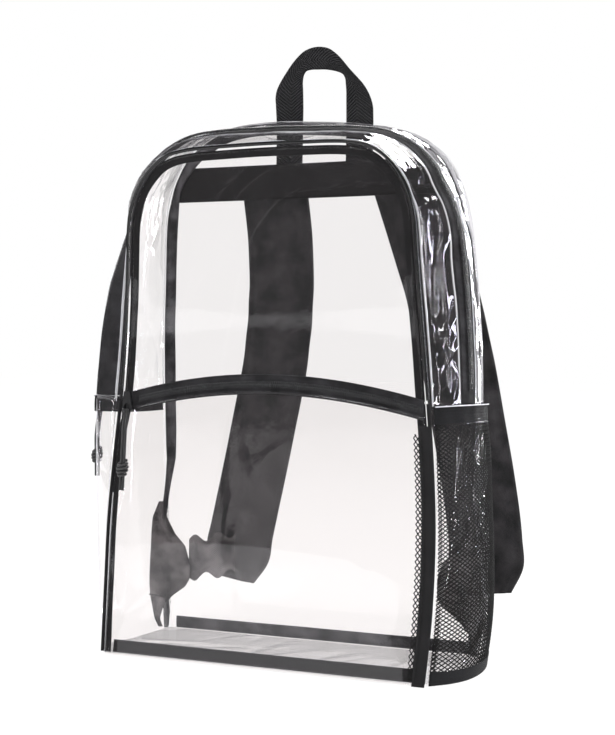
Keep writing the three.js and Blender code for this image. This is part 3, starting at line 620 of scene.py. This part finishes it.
# %% [markdown]
# ## The pull cords
# Each zip slider carries a doubled round cord. Its two strands hang down side by side, a
# knot of turns wraps them near the lower end, and two bare tails come out below it. They
# come first because they are the only free cords. The route is the middle line of each
# strand's own solid.

# %% Pull cords and their knots
cord_radius = 1.1 * MM
strand_points = 24
knot_turns = 4
points_per_turn = 14
knot_wall = 2.3 * MM

def pull(name):
    lines = []
    knot_low, knot_high = (Vector(c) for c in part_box(name + "_knot"))
    for letter in "ab":
        node = f"{name}_strand_{letter}"
        low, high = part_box(node)
        top = Vector(((low[0] + high[0]) / 2, (low[1] + high[1]) / 2, high[2]))
        line = smooth_line(middle_line(node, 8, top), strand_points)
        lines.append(line)
        strand = tubes(f"{name}_cord_{letter}", [line], cord_radius, 12, cord_braid)
        stand_for(strand, "pull_cord", node)
    middle = (lines[0] + lines[1]) / 2
    inside = (middle[:, 2] > knot_low.z) & (middle[:, 2] < knot_high.z)
    core = middle[inside].mean(axis=0)
    turn = np.linspace(0, 1, knot_turns * points_per_turn)
    angle = 2 * np.pi * knot_turns * turn
    reach = (2 * cord_radius + knot_wall * 0.75) * (1 - 0.12 * np.cos(2 * np.pi * turn))
    drop = knot_high.z - turn * (knot_high.z - knot_low.z)
    coil = np.stack([core[0] + reach * np.cos(angle),
                     core[1] + 0.8 * reach * np.sin(angle),
                     drop + 1.5 * MM * np.sin(angle + 0.6)], axis=1)
    knot = tubes(name + "_wrap", [coil], knot_wall / 2, 8, cord_braid)
    stand_for(knot, "pull_cord", name + "_knot")

for name in ("main_pull", "pocket_pull"):
    pull(name)

# %% [markdown]
# ## The clear walls
# Soft vinyl never lies flat. It carries sharp creases from being folded in its box, and slow
# waves between its seams. We add a few dozen random creases to each wall, sharp at the top
# and fading along their length, and let them die out towards the seams.

# %% Helper: random creases
def creases(length, width, count, depth, seed, lean=0.5, spread=0.6, margin=8):
    """A height over s and t in metres; lean is the creases' main direction, in half turns."""
    rng = np.random.default_rng(seed)
    middle_s = rng.uniform(0, length, count)
    middle_t = rng.uniform(0, width, count)
    angle = np.pi * (lean + spread * rng.uniform(-0.5, 0.5, count))
    reach = rng.uniform(10, 45, count) * MM
    sharp = rng.uniform(1.5, 5, count) * MM
    tall = depth * MM * rng.uniform(-1, 1, count)

    def rise(s, t):
        height = np.zeros_like(s)
        for k in range(count):
            ds, dt = s - middle_s[k], t - middle_t[k]
            far = ds * np.cos(angle[k]) + dt * np.sin(angle[k])
            off = dt * np.cos(angle[k]) - ds * np.sin(angle[k])
            off = off + 0.15 * far ** 2 / reach[k]
            height += tall[k] * np.exp(-np.abs(off) / sharp[k] - (far / reach[k]) ** 2)
        rim = np.minimum(np.minimum(s, length - s), np.minimum(t, width - t))
        return height * np.clip(rim / (margin * MM), 0, 1)

    return rise

# %% Helpers: crumpled shoulders and long ridges
def crumple(length, width, zones, count, depth, seed):
    """Many small sharp creases between the shares given in zones, along the piece."""
    rises = []
    for number, (begin, end) in enumerate(zones):
        rng = np.random.default_rng(seed + number)
        middle_s = rng.uniform(begin, end, count) * length
        middle_t = rng.uniform(0, width, count)
        angle = rng.uniform(-1.1, 1.1, count)
        reach = rng.uniform(4, 14, count) * MM
        sharp = rng.uniform(0.8, 2.2, count) * MM
        tall = depth * MM * rng.uniform(-1, 1, count)
        rises.append((middle_s, middle_t, angle, reach, sharp, tall))

    def rise(s, t):
        height = np.zeros_like(s)
        for columns in rises:
            for ms, mt, angle, reach, sharp, tall in zip(*columns):
                far = (s - ms) * math.cos(angle) + (t - mt) * math.sin(angle)
                off = (t - mt) * math.cos(angle) - (s - ms) * math.sin(angle)
                height += tall * np.exp(-np.abs(off) / sharp - (far / reach) ** 2)
        return height * np.clip(np.minimum(t, width - t) / (3 * MM), 0, 1)

    return rise

def ridges(length, width, table):
    """Long folds; each row is: share along where it begins and ends, share across at its
    beginning and end, height and sharpness in millimetres."""
    def rise(s, t):
        height = np.zeros_like(s)
        for begin, end, across_begin, across_end, tall, sharp in table:
            part = (s / length - begin) / (end - begin)
            line = width * (across_begin + (across_end - across_begin) * np.clip(part, 0, 1))
            line = line + 0.8 * MM * np.sin(9 * part + 20 * tall)
            fade = np.clip(np.minimum(part, 1 - part) * 8, 0, 1)
            height += tall * MM * fade * np.exp(-np.abs(t - line) / (sharp * MM))
        return height

    return rise

# %% Walls
VINYL_THICKNESS = 0.5 * MM
VINYL_LIFT = -0.6 * MM
SHOULDERS = [(0.24, 0.4), (0.58, 0.78)]
GUSSET_RIDGES = [
    (0.60, 1.00, 0.28, 0.45, 1.3, 1.2),
    (0.66, 0.98, 0.92, 0.80, 1.0, 2.0),
    (0.80, 0.90, 0.40, 0.75, 0.8, 1.0),
    (0.05, 0.40, 0.60, 0.30, 0.8, 1.5),
    (0.36, 0.62, 0.35, 0.60, 0.9, 1.4),
]
REAR_RIDGES = [
    (0.60, 0.98, 0.30, 0.35, 1.5, 1.6),
    (0.02, 0.40, 0.35, 0.30, 1.2, 2.0),
    (0.30, 0.70, 0.40, 0.55, 1.2, 1.8),
]
NET_SIDE_RIDGES = [
    (0.10, 0.98, 0.12, 0.25, 3.2, 5.0),
    (0.45, 1.00, 0.30, 0.55, 3.0, 4.5),
    (0.20, 0.70, 0.55, 0.40, 3.0, 5.0),
    (0.00, 0.55, 0.80, 0.72, 3.0, 5.5),
    (0.30, 1.00, 0.92, 0.85, 2.6, 4.5),
    (0.02, 0.22, 0.15, 0.75, 3.0, 4.5),
]

def wall(node, haze, wrinkle, count, depth, seed, lean, edge=0.0, step=3.0, margin=8, small=0,
         long_folds=()):
    surface = surfaces[node]
    length, width = surface.size()
    vinyl = clear_vinyl(node + " vinyl", haze, wrinkle * MM, edge, width)
    broad = creases(length, width, count, depth, seed, lean, margin=margin)
    shoulders = crumple(length, width, SHOULDERS, small, 0.55, seed + 100)
    folds = ridges(length, width, long_folds)

    def rise(s, t):
        return broad(s, t) + shoulders(s, t) + folds(s, t)

    piece = cloth(node + "_film", surface, vinyl, step * MM, VINYL_THICKNESS, VINYL_LIFT, rise)
    stand_for(piece, "clear_vinyl", node)
    declare_sheet(surface)

wall("front_panel", 0.003, 0.06, 16, 0.2, 1, 0.5)
wall("back_panel", 0.006, 0.3, 24, 0.3, 2, 0.5)
wall("pocket_panel", 0.003, 0.06, 14, 0.2, 3, 0.5)
# edge=0.7 paints a near-white highlight along both rims of each gusset.
wall("gusset_front", 0.004, 0.25, 60, 0.9, 4, 0.05, edge=0.7, margin=3, step=1.2, small=90,
     long_folds=GUSSET_RIDGES)
wall("gusset_rear", 0.004, 0.25, 70, 1.2, 5, 0.05, edge=0.7, margin=3, step=1.5, small=120,
     long_folds=REAR_RIDGES)
wall("side_panel_left", 0.006, 0.25, 30, 0.8, 6, 0.1, step=2)
wall("side_panel_right", 0.006, 0.3, 60, 1.4, 7, 0.1, step=1.5, long_folds=NET_SIDE_RIDGES)
wall("base_panel", 0.008, 0.4, 40, 1.0, 8, 0.3, step=2)

# %% [markdown]
# ## Seams, piping and bindings
# A folded tape of black twill is sewn over each seam, and a round glossy piping runs round
# The tapes are bowed a little across their width because they are folded
# over the vinyl's edge, and a row of stitches runs along each of them, near one edge.

# %% Helper: rows of stitches
def stitches(name, surface, rows, pitch=3.2, length=2.3, radius=0.28, lift=0.1, end=0.01):
    """Short tubes along the surface at the given shares across it."""
    lines = []
    for row in rows:
        fine, run = surface.even(FINE, other=row)
        count = int(run / (pitch * MM))
        for k in range(count):
            middle = (k + 0.5) / count
            if middle < end or middle > 1 - end:
                continue
            half = 0.5 * length * MM / run
            share = np.interp(np.linspace(middle - half, middle + half, 4),
                              np.linspace(0, 1, FINE), fine)
            place, ahead, across, out = surface.frames(share, np.full(4, row))
            rise = np.array([-0.25, 0.12, 0.12, -0.25])[:, None] * MM
            lines.append(place + out * (rise + lift * MM))
    return tubes(name, lines, radius * MM, 5, stitch_thread)

# %% Bindings with their stitches
def beside_the_piping(place):
    """Below the pocket zip, the left tape lies close to the piping."""
    place = place.copy()
    low_left = (place[..., 0] < 0) & (place[..., 2] < 0.2)
    fade = np.clip((0.2 - place[..., 2]) / 0.03, 0, 1)
    place[..., 0] -= np.where(low_left, 3.4 * MM * fade, 0)
    return place

def narrowed_low(place):
    """The left back tape is drawn together and outward where the strap's anchor is sewn in."""
    place = place.copy()
    middle = place.mean(axis=1, keepdims=True)
    height = place[..., 2]
    pinches = np.exp(-((height - 0.118) / 0.03) ** 2) + np.exp(-((height - 0.388) / 0.014) ** 2)
    near = np.where(place[..., 0] < 0, pinches, 0)
    low = np.where(place[..., 0] < 0, np.clip((0.15 - height) / 0.05, 0, 1), 0)
    inward = (middle[..., 0] - place[..., 0]) * 0.55 * np.maximum(near, 0.8 * low)
    place[..., 0] = place[..., 0] + inward - 8 * MM * low
    return place

DRAWN = {"front_binding": beside_the_piping, "back_binding": narrowed_low}

def binding(node, slack, seed, material, rows=(0.2,), thickness=1.2, bow=0.4):
    surface = surfaces[node]
    length, width = surface.size()
    rng = np.random.default_rng(seed)
    phase = rng.uniform(0, 6.28, 3)

    def rise(s, t):
        share = t / width
        slow = sum(np.sin(s / (reach * MM) + p) for reach, p in zip((9, 17, 31), phase))
        rounded = bow * MM * (1 - (2 * share - 1) ** 2)
        by_the_stitches = np.exp(-((share - 0.2) * 5) ** 2)
        puckers = 0.12 * MM * np.sin(2 * np.pi * s / (3.2 * MM)) * by_the_stitches
        return rounded + slack * MM * slow * share + puckers - bow * MM

    tape = cloth(node + "_tape", surface, material, 1.6 * MM, thickness * MM, 0, rise,
                 move=DRAWN.get(node))
    stand_for(tape, "black_trim", node)
    thread = stitches(node + "_stitches", surface, rows)
    stand_for(thread, "black_trim")
    print(f"{node}: {length / MM:.0f} mm of tape, {width / MM:.0f} mm wide")

for seed, (node, material) in enumerate([
        ("front_binding", binding_cloth), ("back_binding", lining_cloth),
        ("base_binding_front", binding_cloth), ("base_binding_back", lining_cloth),
        ("net_binding", binding_cloth)]):
    binding(node, 0.2, 20 + seed, material)

# %% Corner folds
def corner(name, surface, at_end, material):
    """The tape's end is folded down to the foot and curls a little."""
    share = np.linspace(0, 1, 9)
    edge, ahead, across, out = surface.frames(np.full(len(share), float(at_end)), share)
    edge = DRAWN.get(surface.node, lambda p: p)(edge[None])[0]
    drop = np.linspace(-1.5, edge[:, 2].mean() / MM - 0.6, 12) * MM
    rows = []
    for depth in drop:
        curl = 1.5 * MM * (depth / drop[-1]) ** 2
        middle = edge.mean(axis=0)
        pinch = middle + (edge - middle) * (1 - 0.25 * depth / drop[-1])
        rows.append(pinch + out * (curl * np.sin(share * 3))[:, None] + np.array([0, 0, -depth]))
    front = np.array(rows)
    back = front - out[None] * 1.3 * MM
    piece = closed_sheet(name, front, back, material, drop, share * 10 * MM)
    stand_for(piece, "black_trim")

for node, material in (("front_binding", binding_cloth), ("back_binding", lining_cloth)):
    corner(node + "_left_corner", surfaces[node], False, material)
    corner(node + "_right_corner", surfaces[node], True, material)

# %% Front piping
low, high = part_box("front_piping")
piping_line = middle_line("front_piping", 6, (low[0], (low[1] + high[1]) / 2, low[2]))
piping_path = smooth_line(piping_line, 420)
dome_foot = 0.207
on_dome = np.flatnonzero(piping_path[:, 2] > dome_foot)
parts = [piping_path[:on_dome[0]], piping_path[on_dome[0]:on_dome[-1]], piping_path[on_dome[-1]:]]
piping = tubes("front_piping_cord", [parts[1]], 1.5 * MM, 14, piping_plastic)
stand_for(piping, "black_trim", "front_piping")
covered = tubes("front_piping_covered", [parts[0], parts[2]], 1.5 * MM, 10, binding_cloth)
stand_for(covered, "black_trim")
print("piping, mm:", round(run_along(piping_line)[-1] / MM))

# %% [markdown]
# ## The zips
# Both zips are of the spiral kind: a monofilament is wound to a flat spiral along each tape,
# and the turns of the two spirals mesh. We wind two real spirals along each coil's solid,
# half a turn apart, over the ribbed tape.

# %% Zips
def zip_tape(node, thickness=0.7):
    surface = surfaces[node]
    length, width = surface.size()

    def rise(s, t):
        return 0.15 * MM * np.sin(s / (7 * MM)) * np.abs(2 * t / width - 1)

    tape = cloth(node + "_cloth", surface, tape_cloth, 1.8 * MM, thickness * MM, -0.2 * MM, rise)
    stand_for(tape, "black_trim", node)

def zip_coil(node, pitch, half_width, half_height, wire):
    surface = surfaces[node]
    fine, length = surface.even(800)
    turns = int(length / (pitch * MM))
    per_turn = 8
    samples = turns * per_turn
    share = np.linspace(0.003, 0.997, samples)
    u = np.interp(share, np.linspace(0, 1, 800), fine)
    place, ahead, across, out = surface.frames(u, np.full(samples, 0.5))
    lines = []
    for side in (-1, 1):
        angle = 2 * np.pi * np.arange(samples) / per_turn + (0 if side < 0 else np.pi)
        sideways = side * half_width * MM * (0.5 + 0.55 * np.cos(angle))
        height = half_height * MM * (np.sin(angle) - 1)
        lines.append(place + across * sideways[:, None] + out * height[:, None])
    coil = tubes(node + "_spiral", lines, wire * MM, 5, coil_plastic)
    stand_for(coil, "zip_coil", node)
    print(node, "turns on each tape:", turns)

for node in ("main_zip_tape", "pocket_zip_tape"):
    zip_tape(node)
zip_coil("main_zip_coil", 2.1, 2.9, 0.8, 0.45)
zip_coil("pocket_zip_coil", 1.9, 2.4, 0.7, 0.4)
for node, rows in (("main_zip_tape", (0.06, 0.94)), ("pocket_zip_tape", (0.06, 0.94))):
    stand_for(stitches(node + "_stitches", surfaces[node], rows), "black_trim")

# %% [markdown]
# ## Cut edges of the vinyl
# Where clear vinyl is cut or folded over it looks white, because light is caught inside the
# sheet and leaves at the edge. That light is painted in: thin near-white lines, a painted
# highlight, run along both sides of the main zip and along the top of each elastic band.

# %% Cut edges
painted_edge_highlight, tree = new_material("vinyl edge painted highlight")
place, along, across = metres(tree)
cloudy = add_node(tree, "TexNoise", {"Vector": place, "Scale": 160, "Detail": 2})
# Painted highlight: a grey to near-white tone in place of the light that leaves the cut edge.
tone = add_node(tree, "ValToRGB", {0: cloudy.outputs["Fac"]})
tone.color_ramp.elements[0].color = (0.45, 0.45, 0.5, 1)
tone.color_ramp.elements[1].color = (0.95, 0.95, 1.0, 1)
shader = add_node(tree, "BsdfPrincipled", {"Base Color": tone.outputs[0], "Roughness": 0.2})
add_node(tree, "OutputMaterial", {"Surface": shader.outputs[0]})

def edge_line(name, surface, along, fixed, radius, lift):
    """A thin tube of painted edge highlight along a share of the surface: along u, or across it."""
    share = np.linspace(0.004, 0.996, 260)
    same = np.full(len(share), fixed)
    u, v = (share, same) if along else (same, share)
    place, normal = surface.at(u, v), surface.normal(u, v)
    wander = 0.25 * MM * np.sin(share * 70 + 3 * np.sin(share * 23))
    line = place + normal * (lift * MM + wander)[:, None]
    stand_for(tubes(name, [line], radius * MM, 6, painted_edge_highlight), "clear_vinyl")

edge_line("zip_front_edge", surfaces["gusset_front"], True, 0.985, 0.4, 0.2)
edge_line("zip_rear_edge", surfaces["gusset_rear"], True, 0.012, 0.4, 0.2)
edge_line("right_band_edge", surfaces["side_band_right"], False, 0.99, 0.5, 0.7)
edge_line("left_band_edge", surfaces["side_band_left"], False, 0.99, 0.6, 0.7)

# %% [markdown]
# ## The sliders
# Each slider is a small plate of painted metal with an eye for the cord. Its solid has the
# right form already, so we only round the edges with a bevel on a copy.

# %% Sliders
def rounded_copy(node, name, material, amount):
    mesh = merged(node)
    bmesh.ops.dissolve_limit(mesh, angle_limit=math.radians(2), verts=mesh.verts, edges=mesh.edges)
    data = bpy.data.meshes.new(name)
    mesh.to_mesh(data)
    mesh.free()
    data.materials.append(material)
    piece = bpy.data.objects.new(name, data)
    scene.collection.objects.link(piece)
    bevel = piece.modifiers.new("rounded edges", "BEVEL")
    bevel.width = amount
    bevel.segments = 3
    bevel.angle_limit = math.radians(40)
    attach(piece, "root")
    return piece

for node in ("main_slider", "pocket_slider"):
    stand_for(rounded_copy(node, node + "_body", slider_paint, 0.5 * MM), "slider_metal", node)

# %% [markdown]
# ## Elastic bands
# A ribbed band closes the top of each side. Elastic has cords inside it, so its face is a
# row of narrow ribs, and it gathers the vinyl beneath it.

# %% Elastic bands
def band(node, ribs, seed):
    surface = surfaces[node]
    height, length = surface.size()
    rng = np.random.default_rng(seed)
    phase = rng.uniform(0, 6.28)

    def rise(s, t):
        ribbed = 0.35 * MM * np.abs(np.sin(np.pi * ribs * s / height))
        gathered = 0.3 * MM * np.sin(t / (3.1 * MM) + phase + np.sin(s / (4 * MM)))
        return ribbed + gathered - 0.5 * MM

    piece = cloth(node + "_elastic", surface, elastic_cloth, 0.6 * MM, 1.0 * MM, 0, rise)
    stand_for(piece, "black_trim", node)
    print(f"{node}: {ribs} ribs in {height / MM:.0f} mm")

band("side_band_left", 6, 41)
band("side_band_right", 6, 42)

# %% [markdown]
# ## The net pocket
# A bag of knitted net hangs on the right side. Its threads cross at a slant and leave
# diamond holes of about three millimetres. We lay each thread on the pocket's surface as a
# thin tube, and let it pass over one neighbour and under the next.

# %% Net pocket
net_rise = 3.2 * MM
net_span = 5.0 * MM
net_wire = 0.46 * MM

def net_threads(surface, part=(0, 1, 0, 1)):
    """Slanting threads both ways over a part of a surface."""
    u0, u1, v0, v1 = part
    all_u, height = surface.even(FINE)
    all_v, width = surface.even(FINE, along=False)
    low_s, high_s, low_t, high_t = u0 * height, u1 * height, v0 * width, v1 * width
    slope = net_rise / net_span
    reach = (high_t - low_t) * slope
    lines = []
    for slant in (-1, 1):
        start = low_s - reach if slant > 0 else low_s
        stop = high_s if slant > 0 else high_s + reach
        for begin in np.arange(start, stop, net_rise):
            across = np.arange(low_t, high_t + net_span / 4, net_span / 4)
            along = begin + slant * slope * (across - low_t)
            inside = (along >= low_s) & (along <= high_s) & (across <= high_t)
            if inside.sum() < 2:
                continue
            u = np.interp(along[inside] / height, np.linspace(0, 1, FINE), all_u)
            v = np.interp(across[inside] / width, np.linspace(0, 1, FINE), all_v)
            place, normal = surface.at(u, v), surface.normal(u, v)
            over = slant * 0.2 * MM * np.cos(np.pi * np.arange(len(across))[inside] / 2)
            lines.append(place + normal * (over - 0.5 * MM)[:, None])
    return lines

net = surfaces["net_pocket"]
net_lines = net_threads(net)
net_piece = tubes("side_net", net_lines, net_wire, 5, net_thread)
stand_for(net_piece, "net_fabric", "net_pocket")
declare_sheet(net)
print("net threads:", len(net_lines))

# The net's front edge is folded round the corner and shows beside the binding.
edge_lines = net_threads(surfaces["pocket_panel"], (0.965, 1.0, 0.02, 0.93))
edge_shift = np.array([0, -1.3, 0]) * MM
net_edge = tubes("net_front_edge", [line + edge_shift for line in edge_lines], net_wire, 5,
                 net_thread)
stand_for(net_edge, "net_fabric")

# On the side it starts right at the binding, so a narrow part bridges the seam's corner.
margin_lines = net_threads(surfaces["side_panel_right"], (0.02, 0.93, 0.0, 0.045))
margin_shift = np.array([1.2, -0.6, 0]) * MM
net_margin = tubes("net_margin", [line + margin_shift for line in margin_lines], net_wire, 5,
                   net_thread)
stand_for(net_margin, "net_fabric")

# A dense hem closes the net along the foot.
hem = cloth("net_hem", net, elastic_cloth, 1.5 * MM, 0.8 * MM, 0.5 * MM, None, (0.0, 0.05, 0, 1))
stand_for(hem, "net_fabric")

# %% [markdown]
# ## Yoke, handle and straps
# On the back, a wide black yoke carries the handle and the straps. The handle is one length
# of herringbone webbing bent to an angular loop. The straps are foam in a woven cover, so
# they swell between their stitched edges. At the lower end, each strap's webbing is gathered
# into a small triangle in the side seam.

# %% Yoke, handle, links and anchors
def waves(depth, reach, seed):
    rng = np.random.default_rng(seed)
    phase = rng.uniform(0, 6.28, 2)

    def rise(s, t):
        return depth * MM * (np.sin(s / (reach * MM) + phase[0]) * np.cos(
            t / (0.7 * reach * MM) + phase[1]) - 0.6)

    return rise

flat_pieces = [
    ("yoke", "yoke_cover", yoke_cloth, "black_trim", 2.5, 1.6, waves(0.4, 14, 51)),
    ("handle", "handle_webbing", webbing_cloth, "webbing", 1.5, 1.5, waves(0.15, 12, 52)),
    ("strap_link_left", "strap_link_left_web", gathered_cloth, "black_trim", 1.2, 1.4,
     waves(0.3, 6, 55)),
    ("strap_link_right", "strap_link_right_web", gathered_cloth, "black_trim", 1.2, 1.4,
     waves(0.3, 6, 56)),
]
for node, name, material, slot, step, thickness, rise in flat_pieces:
    piece = cloth(name, surfaces[node], material, step * MM, thickness * MM, 0, rise)
    stand_for(piece, slot, node)
for node, rows in (("yoke", (0.07, 0.93)), ("handle", (0.1, 0.9))):
    slot = "black_trim" if node == "yoke" else "webbing"
    stand_for(stitches(node + "_stitches", surfaces[node], rows), slot)

# %% Anchors
ANCHOR_OUTLINE = [  # height, outer edge, inner edge, in millimetres, on the left side
    (112, -153.5, -149.0),
    (98, -160.0, -146.0),
    (84, -161.5, -138.0),
    (74, -162.0, -128.0),
    (60, -163.0, -123.5),
    (45, -163.8, -123.5),
    (38, -163.8, -128.0),
    (29, -163.4, -141.0),
    (18, -161.0, -150.5),
    (8, -159.0, -154.0),
    (1, -155.0, -151.0),
]

anchor_depth, fold_depth, anchor_thickness, seam_depth = 55.6, 1.4, 1.4, 54.4

def anchor(node, mirror, shift, seed):
    table = np.array(ANCHOR_OUTLINE[::-1], float)
    rows, columns = 70, 30
    height = np.linspace(table[0, 0], table[-1, 0], rows)
    share = np.linspace(0, 1, columns)
    outer_edge = np.interp(height, table[:, 0], table[:, 1])
    inner_edge = np.interp(height, table[:, 0], table[:, 2])
    x = outer_edge[:, None] + (inner_edge - outer_edge)[:, None] * share
    x = mirror * x + shift
    rng = np.random.default_rng(seed)
    fan = np.zeros_like(x)
    for lean in rng.uniform(0.3, 1.4, 9):
        fan += np.sin(share * 14 * lean + height[:, None] / 9 * (lean - 0.8) + 7 * lean) / 9
    deep = anchor_depth + fold_depth * fan
    z = np.broadcast_to(height[:, None], x.shape)
    front = np.stack([x, deep, z], axis=2) * MM
    back = np.stack([x, deep + anchor_thickness, z], axis=2) * MM
    piece = closed_sheet(node + "_fold", front, back, gathered_cloth, height * MM, share * 30 * MM)
    stand_for(piece, "black_trim", node)
    low, high = (mirror * edge + shift for edge in (-163.2, -141.5))
    seam = np.array([(low + (high - low) * k / 7, seam_depth, 29 - k * 0.1) for k in range(8)]) * MM
    stand_for(tubes(node + "_seam", [seam], 0.6 * MM, 6, stitch_thread), "black_trim")
    print(f"{node}: {height[0]:.0f} to {height[-1]:.0f} mm above the floor")

anchor("anchor_left", 1, 0, 53)
anchor("anchor_right", -1, -15.5, 54)

# %% Padded straps
def strap(node):
    back = surfaces[node]
    front = Surface(node, FRONT, foot_left, up_bag)
    length, width = back.size()
    rows, columns = 25, int(length / (2.5 * MM))
    all_u = back.even(columns)[0]
    all_v = back.even(rows, along=False)[0]
    outer, out_back = back.spread(all_u, all_v)
    inner, out_front = front.spread(all_u, all_v)
    share = np.linspace(0, 1, rows)
    swell = 1.2 * MM * (1 - np.abs(2 * share - 1) ** 4) - 0.8 * MM
    seam = 0.09
    groove = -0.9 * MM * (np.exp(-((share - seam) / 0.03) ** 2)
                          + np.exp(-((share - 1 + seam) / 0.03) ** 2))
    puff = (swell + groove)[None, :, None]
    run = all_u[:, None] * length
    slow = 0.35 * MM * np.sin(run / (11 * MM) + 3 * np.sin(run / (37 * MM)))[:, :, None]
    outer = outer + out_back * (puff + slow)
    inner = inner + out_front * (puff - slow)
    piece = closed_sheet(node + "_pad", outer, inner, cover_cloth, all_u * length, all_v * width)
    stand_for(piece, "strap_padding", node)
    thread = stitches(node + "_stitches", back, (seam, 1 - seam), lift=-0.5)
    stand_for(thread, "strap_padding")
    print(f"{node}: {length / MM:.0f} mm long, {width / MM:.0f} mm wide")

for node in ("strap_left", "strap_right"):
    strap(node)

# %% [markdown]
# ## Floor and light
# The bag stands on a plain pale floor in a bright studio. A large soft light from the front
# left fills the walls, one overhead draws lines along the crown, and one at the right lifts
# the straps. Clear vinyl shows mostly what it mirrors, so narrow cards of light that only
# reflections see put long highlights on the crinkled side, and the world is white to the
# camera, dim in a mirror, and bright again in the part of it behind the bag.

# %% Floor
floor_mesh = bpy.data.meshes.new("floor")
floor_half = 6.0
floor_drop = 0.0006
corners = [(x, y, -floor_drop) for x, y in
           ((-floor_half, -floor_half), (floor_half, -floor_half),
            (floor_half, floor_half), (-floor_half, floor_half))]
floor_mesh.from_pydata(corners, [], [(0, 1, 2, 3)])
floor = bpy.data.objects.new("floor", floor_mesh)
scene.collection.objects.link(floor)
floor_paint, tree = new_material("floor paint")
place = add_node(tree, "TexCoord").outputs["Object"]
cloudy = add_node(tree, "TexNoise", {"Vector": place, "Scale": 3, "Detail": 3})
tone = add_node(tree, "ValToRGB", {0: cloudy.outputs["Fac"]})
tone.color_ramp.elements[0].color = (0.93, 0.925, 0.92, 1)
tone.color_ramp.elements[1].color = (0.97, 0.97, 0.97, 1)
paint = add_node(tree, "BsdfDiffuse", {"Color": (0.16, 0.16, 0.16, 1)})
glow = add_node(tree, "Emission", {"Color": tone.outputs[0], "Strength": 0.965})
lit = add_node(tree, "AddShader", {0: paint.outputs[0], 1: glow.outputs[0]})
add_node(tree, "OutputMaterial", {"Surface": lit.outputs[0]})
floor_mesh.materials.append(floor_paint)
floor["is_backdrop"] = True

# %% Lights and world
def softbox(name, place, aim, width, height, power, colour=(1, 1, 1), card=False):
    data = bpy.data.lights.new(name, "AREA")
    data.shape = "RECTANGLE"
    data.size = width
    data.size_y = height
    data.energy = power
    data.color = colour
    light = bpy.data.objects.new(name, data)
    scene.collection.objects.link(light)
    light.location = place
    light.rotation_mode = "QUATERNION"
    light.rotation_quaternion = (Vector(aim) - Vector(place)).to_track_quat("-Z", "Y")
    light.visible_camera = False
    light.visible_diffuse = not card
    print(name, power, "W")
    return light

bag_middle = (0, 0, 0.22)
softbox("key light", (-2.2, -0.9, 1.3), bag_middle, 1.0, 1.4, 30)
softbox("top light", (0.1, -0.3, 1.9), bag_middle, 1.4, 0.8, 25)
softbox("right light", (1.9, 0.2, 0.9), bag_middle, 0.8, 1.4, 20).visible_glossy = False
lilac = (0.86, 0.86, 1.0)
softbox("side card", (1.8, 0.62, 0.4), bag_middle, 0.1, 1.8, 20, lilac, card=True)
softbox("rear card", (0.45, 1.9, 0.4), bag_middle, 0.12, 1.8, 20, card=True)
softbox("narrow card", (1.9, -0.5, 0.5), bag_middle, 0.1, 1.6, 16, card=True)
softbox("crown card", (0.3, 1.0, 1.5), bag_middle, 1.4, 0.3, 45, card=True)
world = bpy.data.worlds.new("studio")
scene.world = world
world.use_nodes = True
tree = world.node_tree
tree.nodes.clear()
ray = add_node(tree, "LightPath")
toward = add_node(tree, "SeparateXYZ", {0: add_node(tree, "TexCoord").outputs["Generated"]})
backdrop = add_node(tree, "MapRange", {
    "Value": toward.outputs[1], "From Min": 0.86, "From Max": 0.97,
    "To Min": 0.04, "To Max": 0.95}, clamp=True).outputs[0]
unmirrored = sum_up(tree, "SUBTRACT", 1.0, ray.outputs["Is Glossy Ray"])
strength = sum_up(tree, "ADD", sum_up(tree, "MULTIPLY", backdrop, ray.outputs["Is Glossy Ray"]),
                  sum_up(tree, "MULTIPLY", 0.55, unmirrored))
strength = sum_up(tree, "MAXIMUM", ray.outputs["Is Camera Ray"], strength)
sky = add_node(tree, "Background", {"Color": (1, 1, 1, 1), "Strength": strength})
add_node(tree, "OutputWorld", {"Surface": sky.outputs[0]})
scene.view_settings.view_transform = "Standard"
scene.cycles.transparent_max_bounces = 32
scene.cycles.max_bounces = 5
scene.cycles.diffuse_bounces = 2
scene.cycles.glossy_bounces = 3

# %% [markdown]
# ## The size
# We measure the dressed bag and print its size.

# %% Measure and finish
low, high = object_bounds()
print("dressed, mm:", [round(size / MM) for size in high - low])
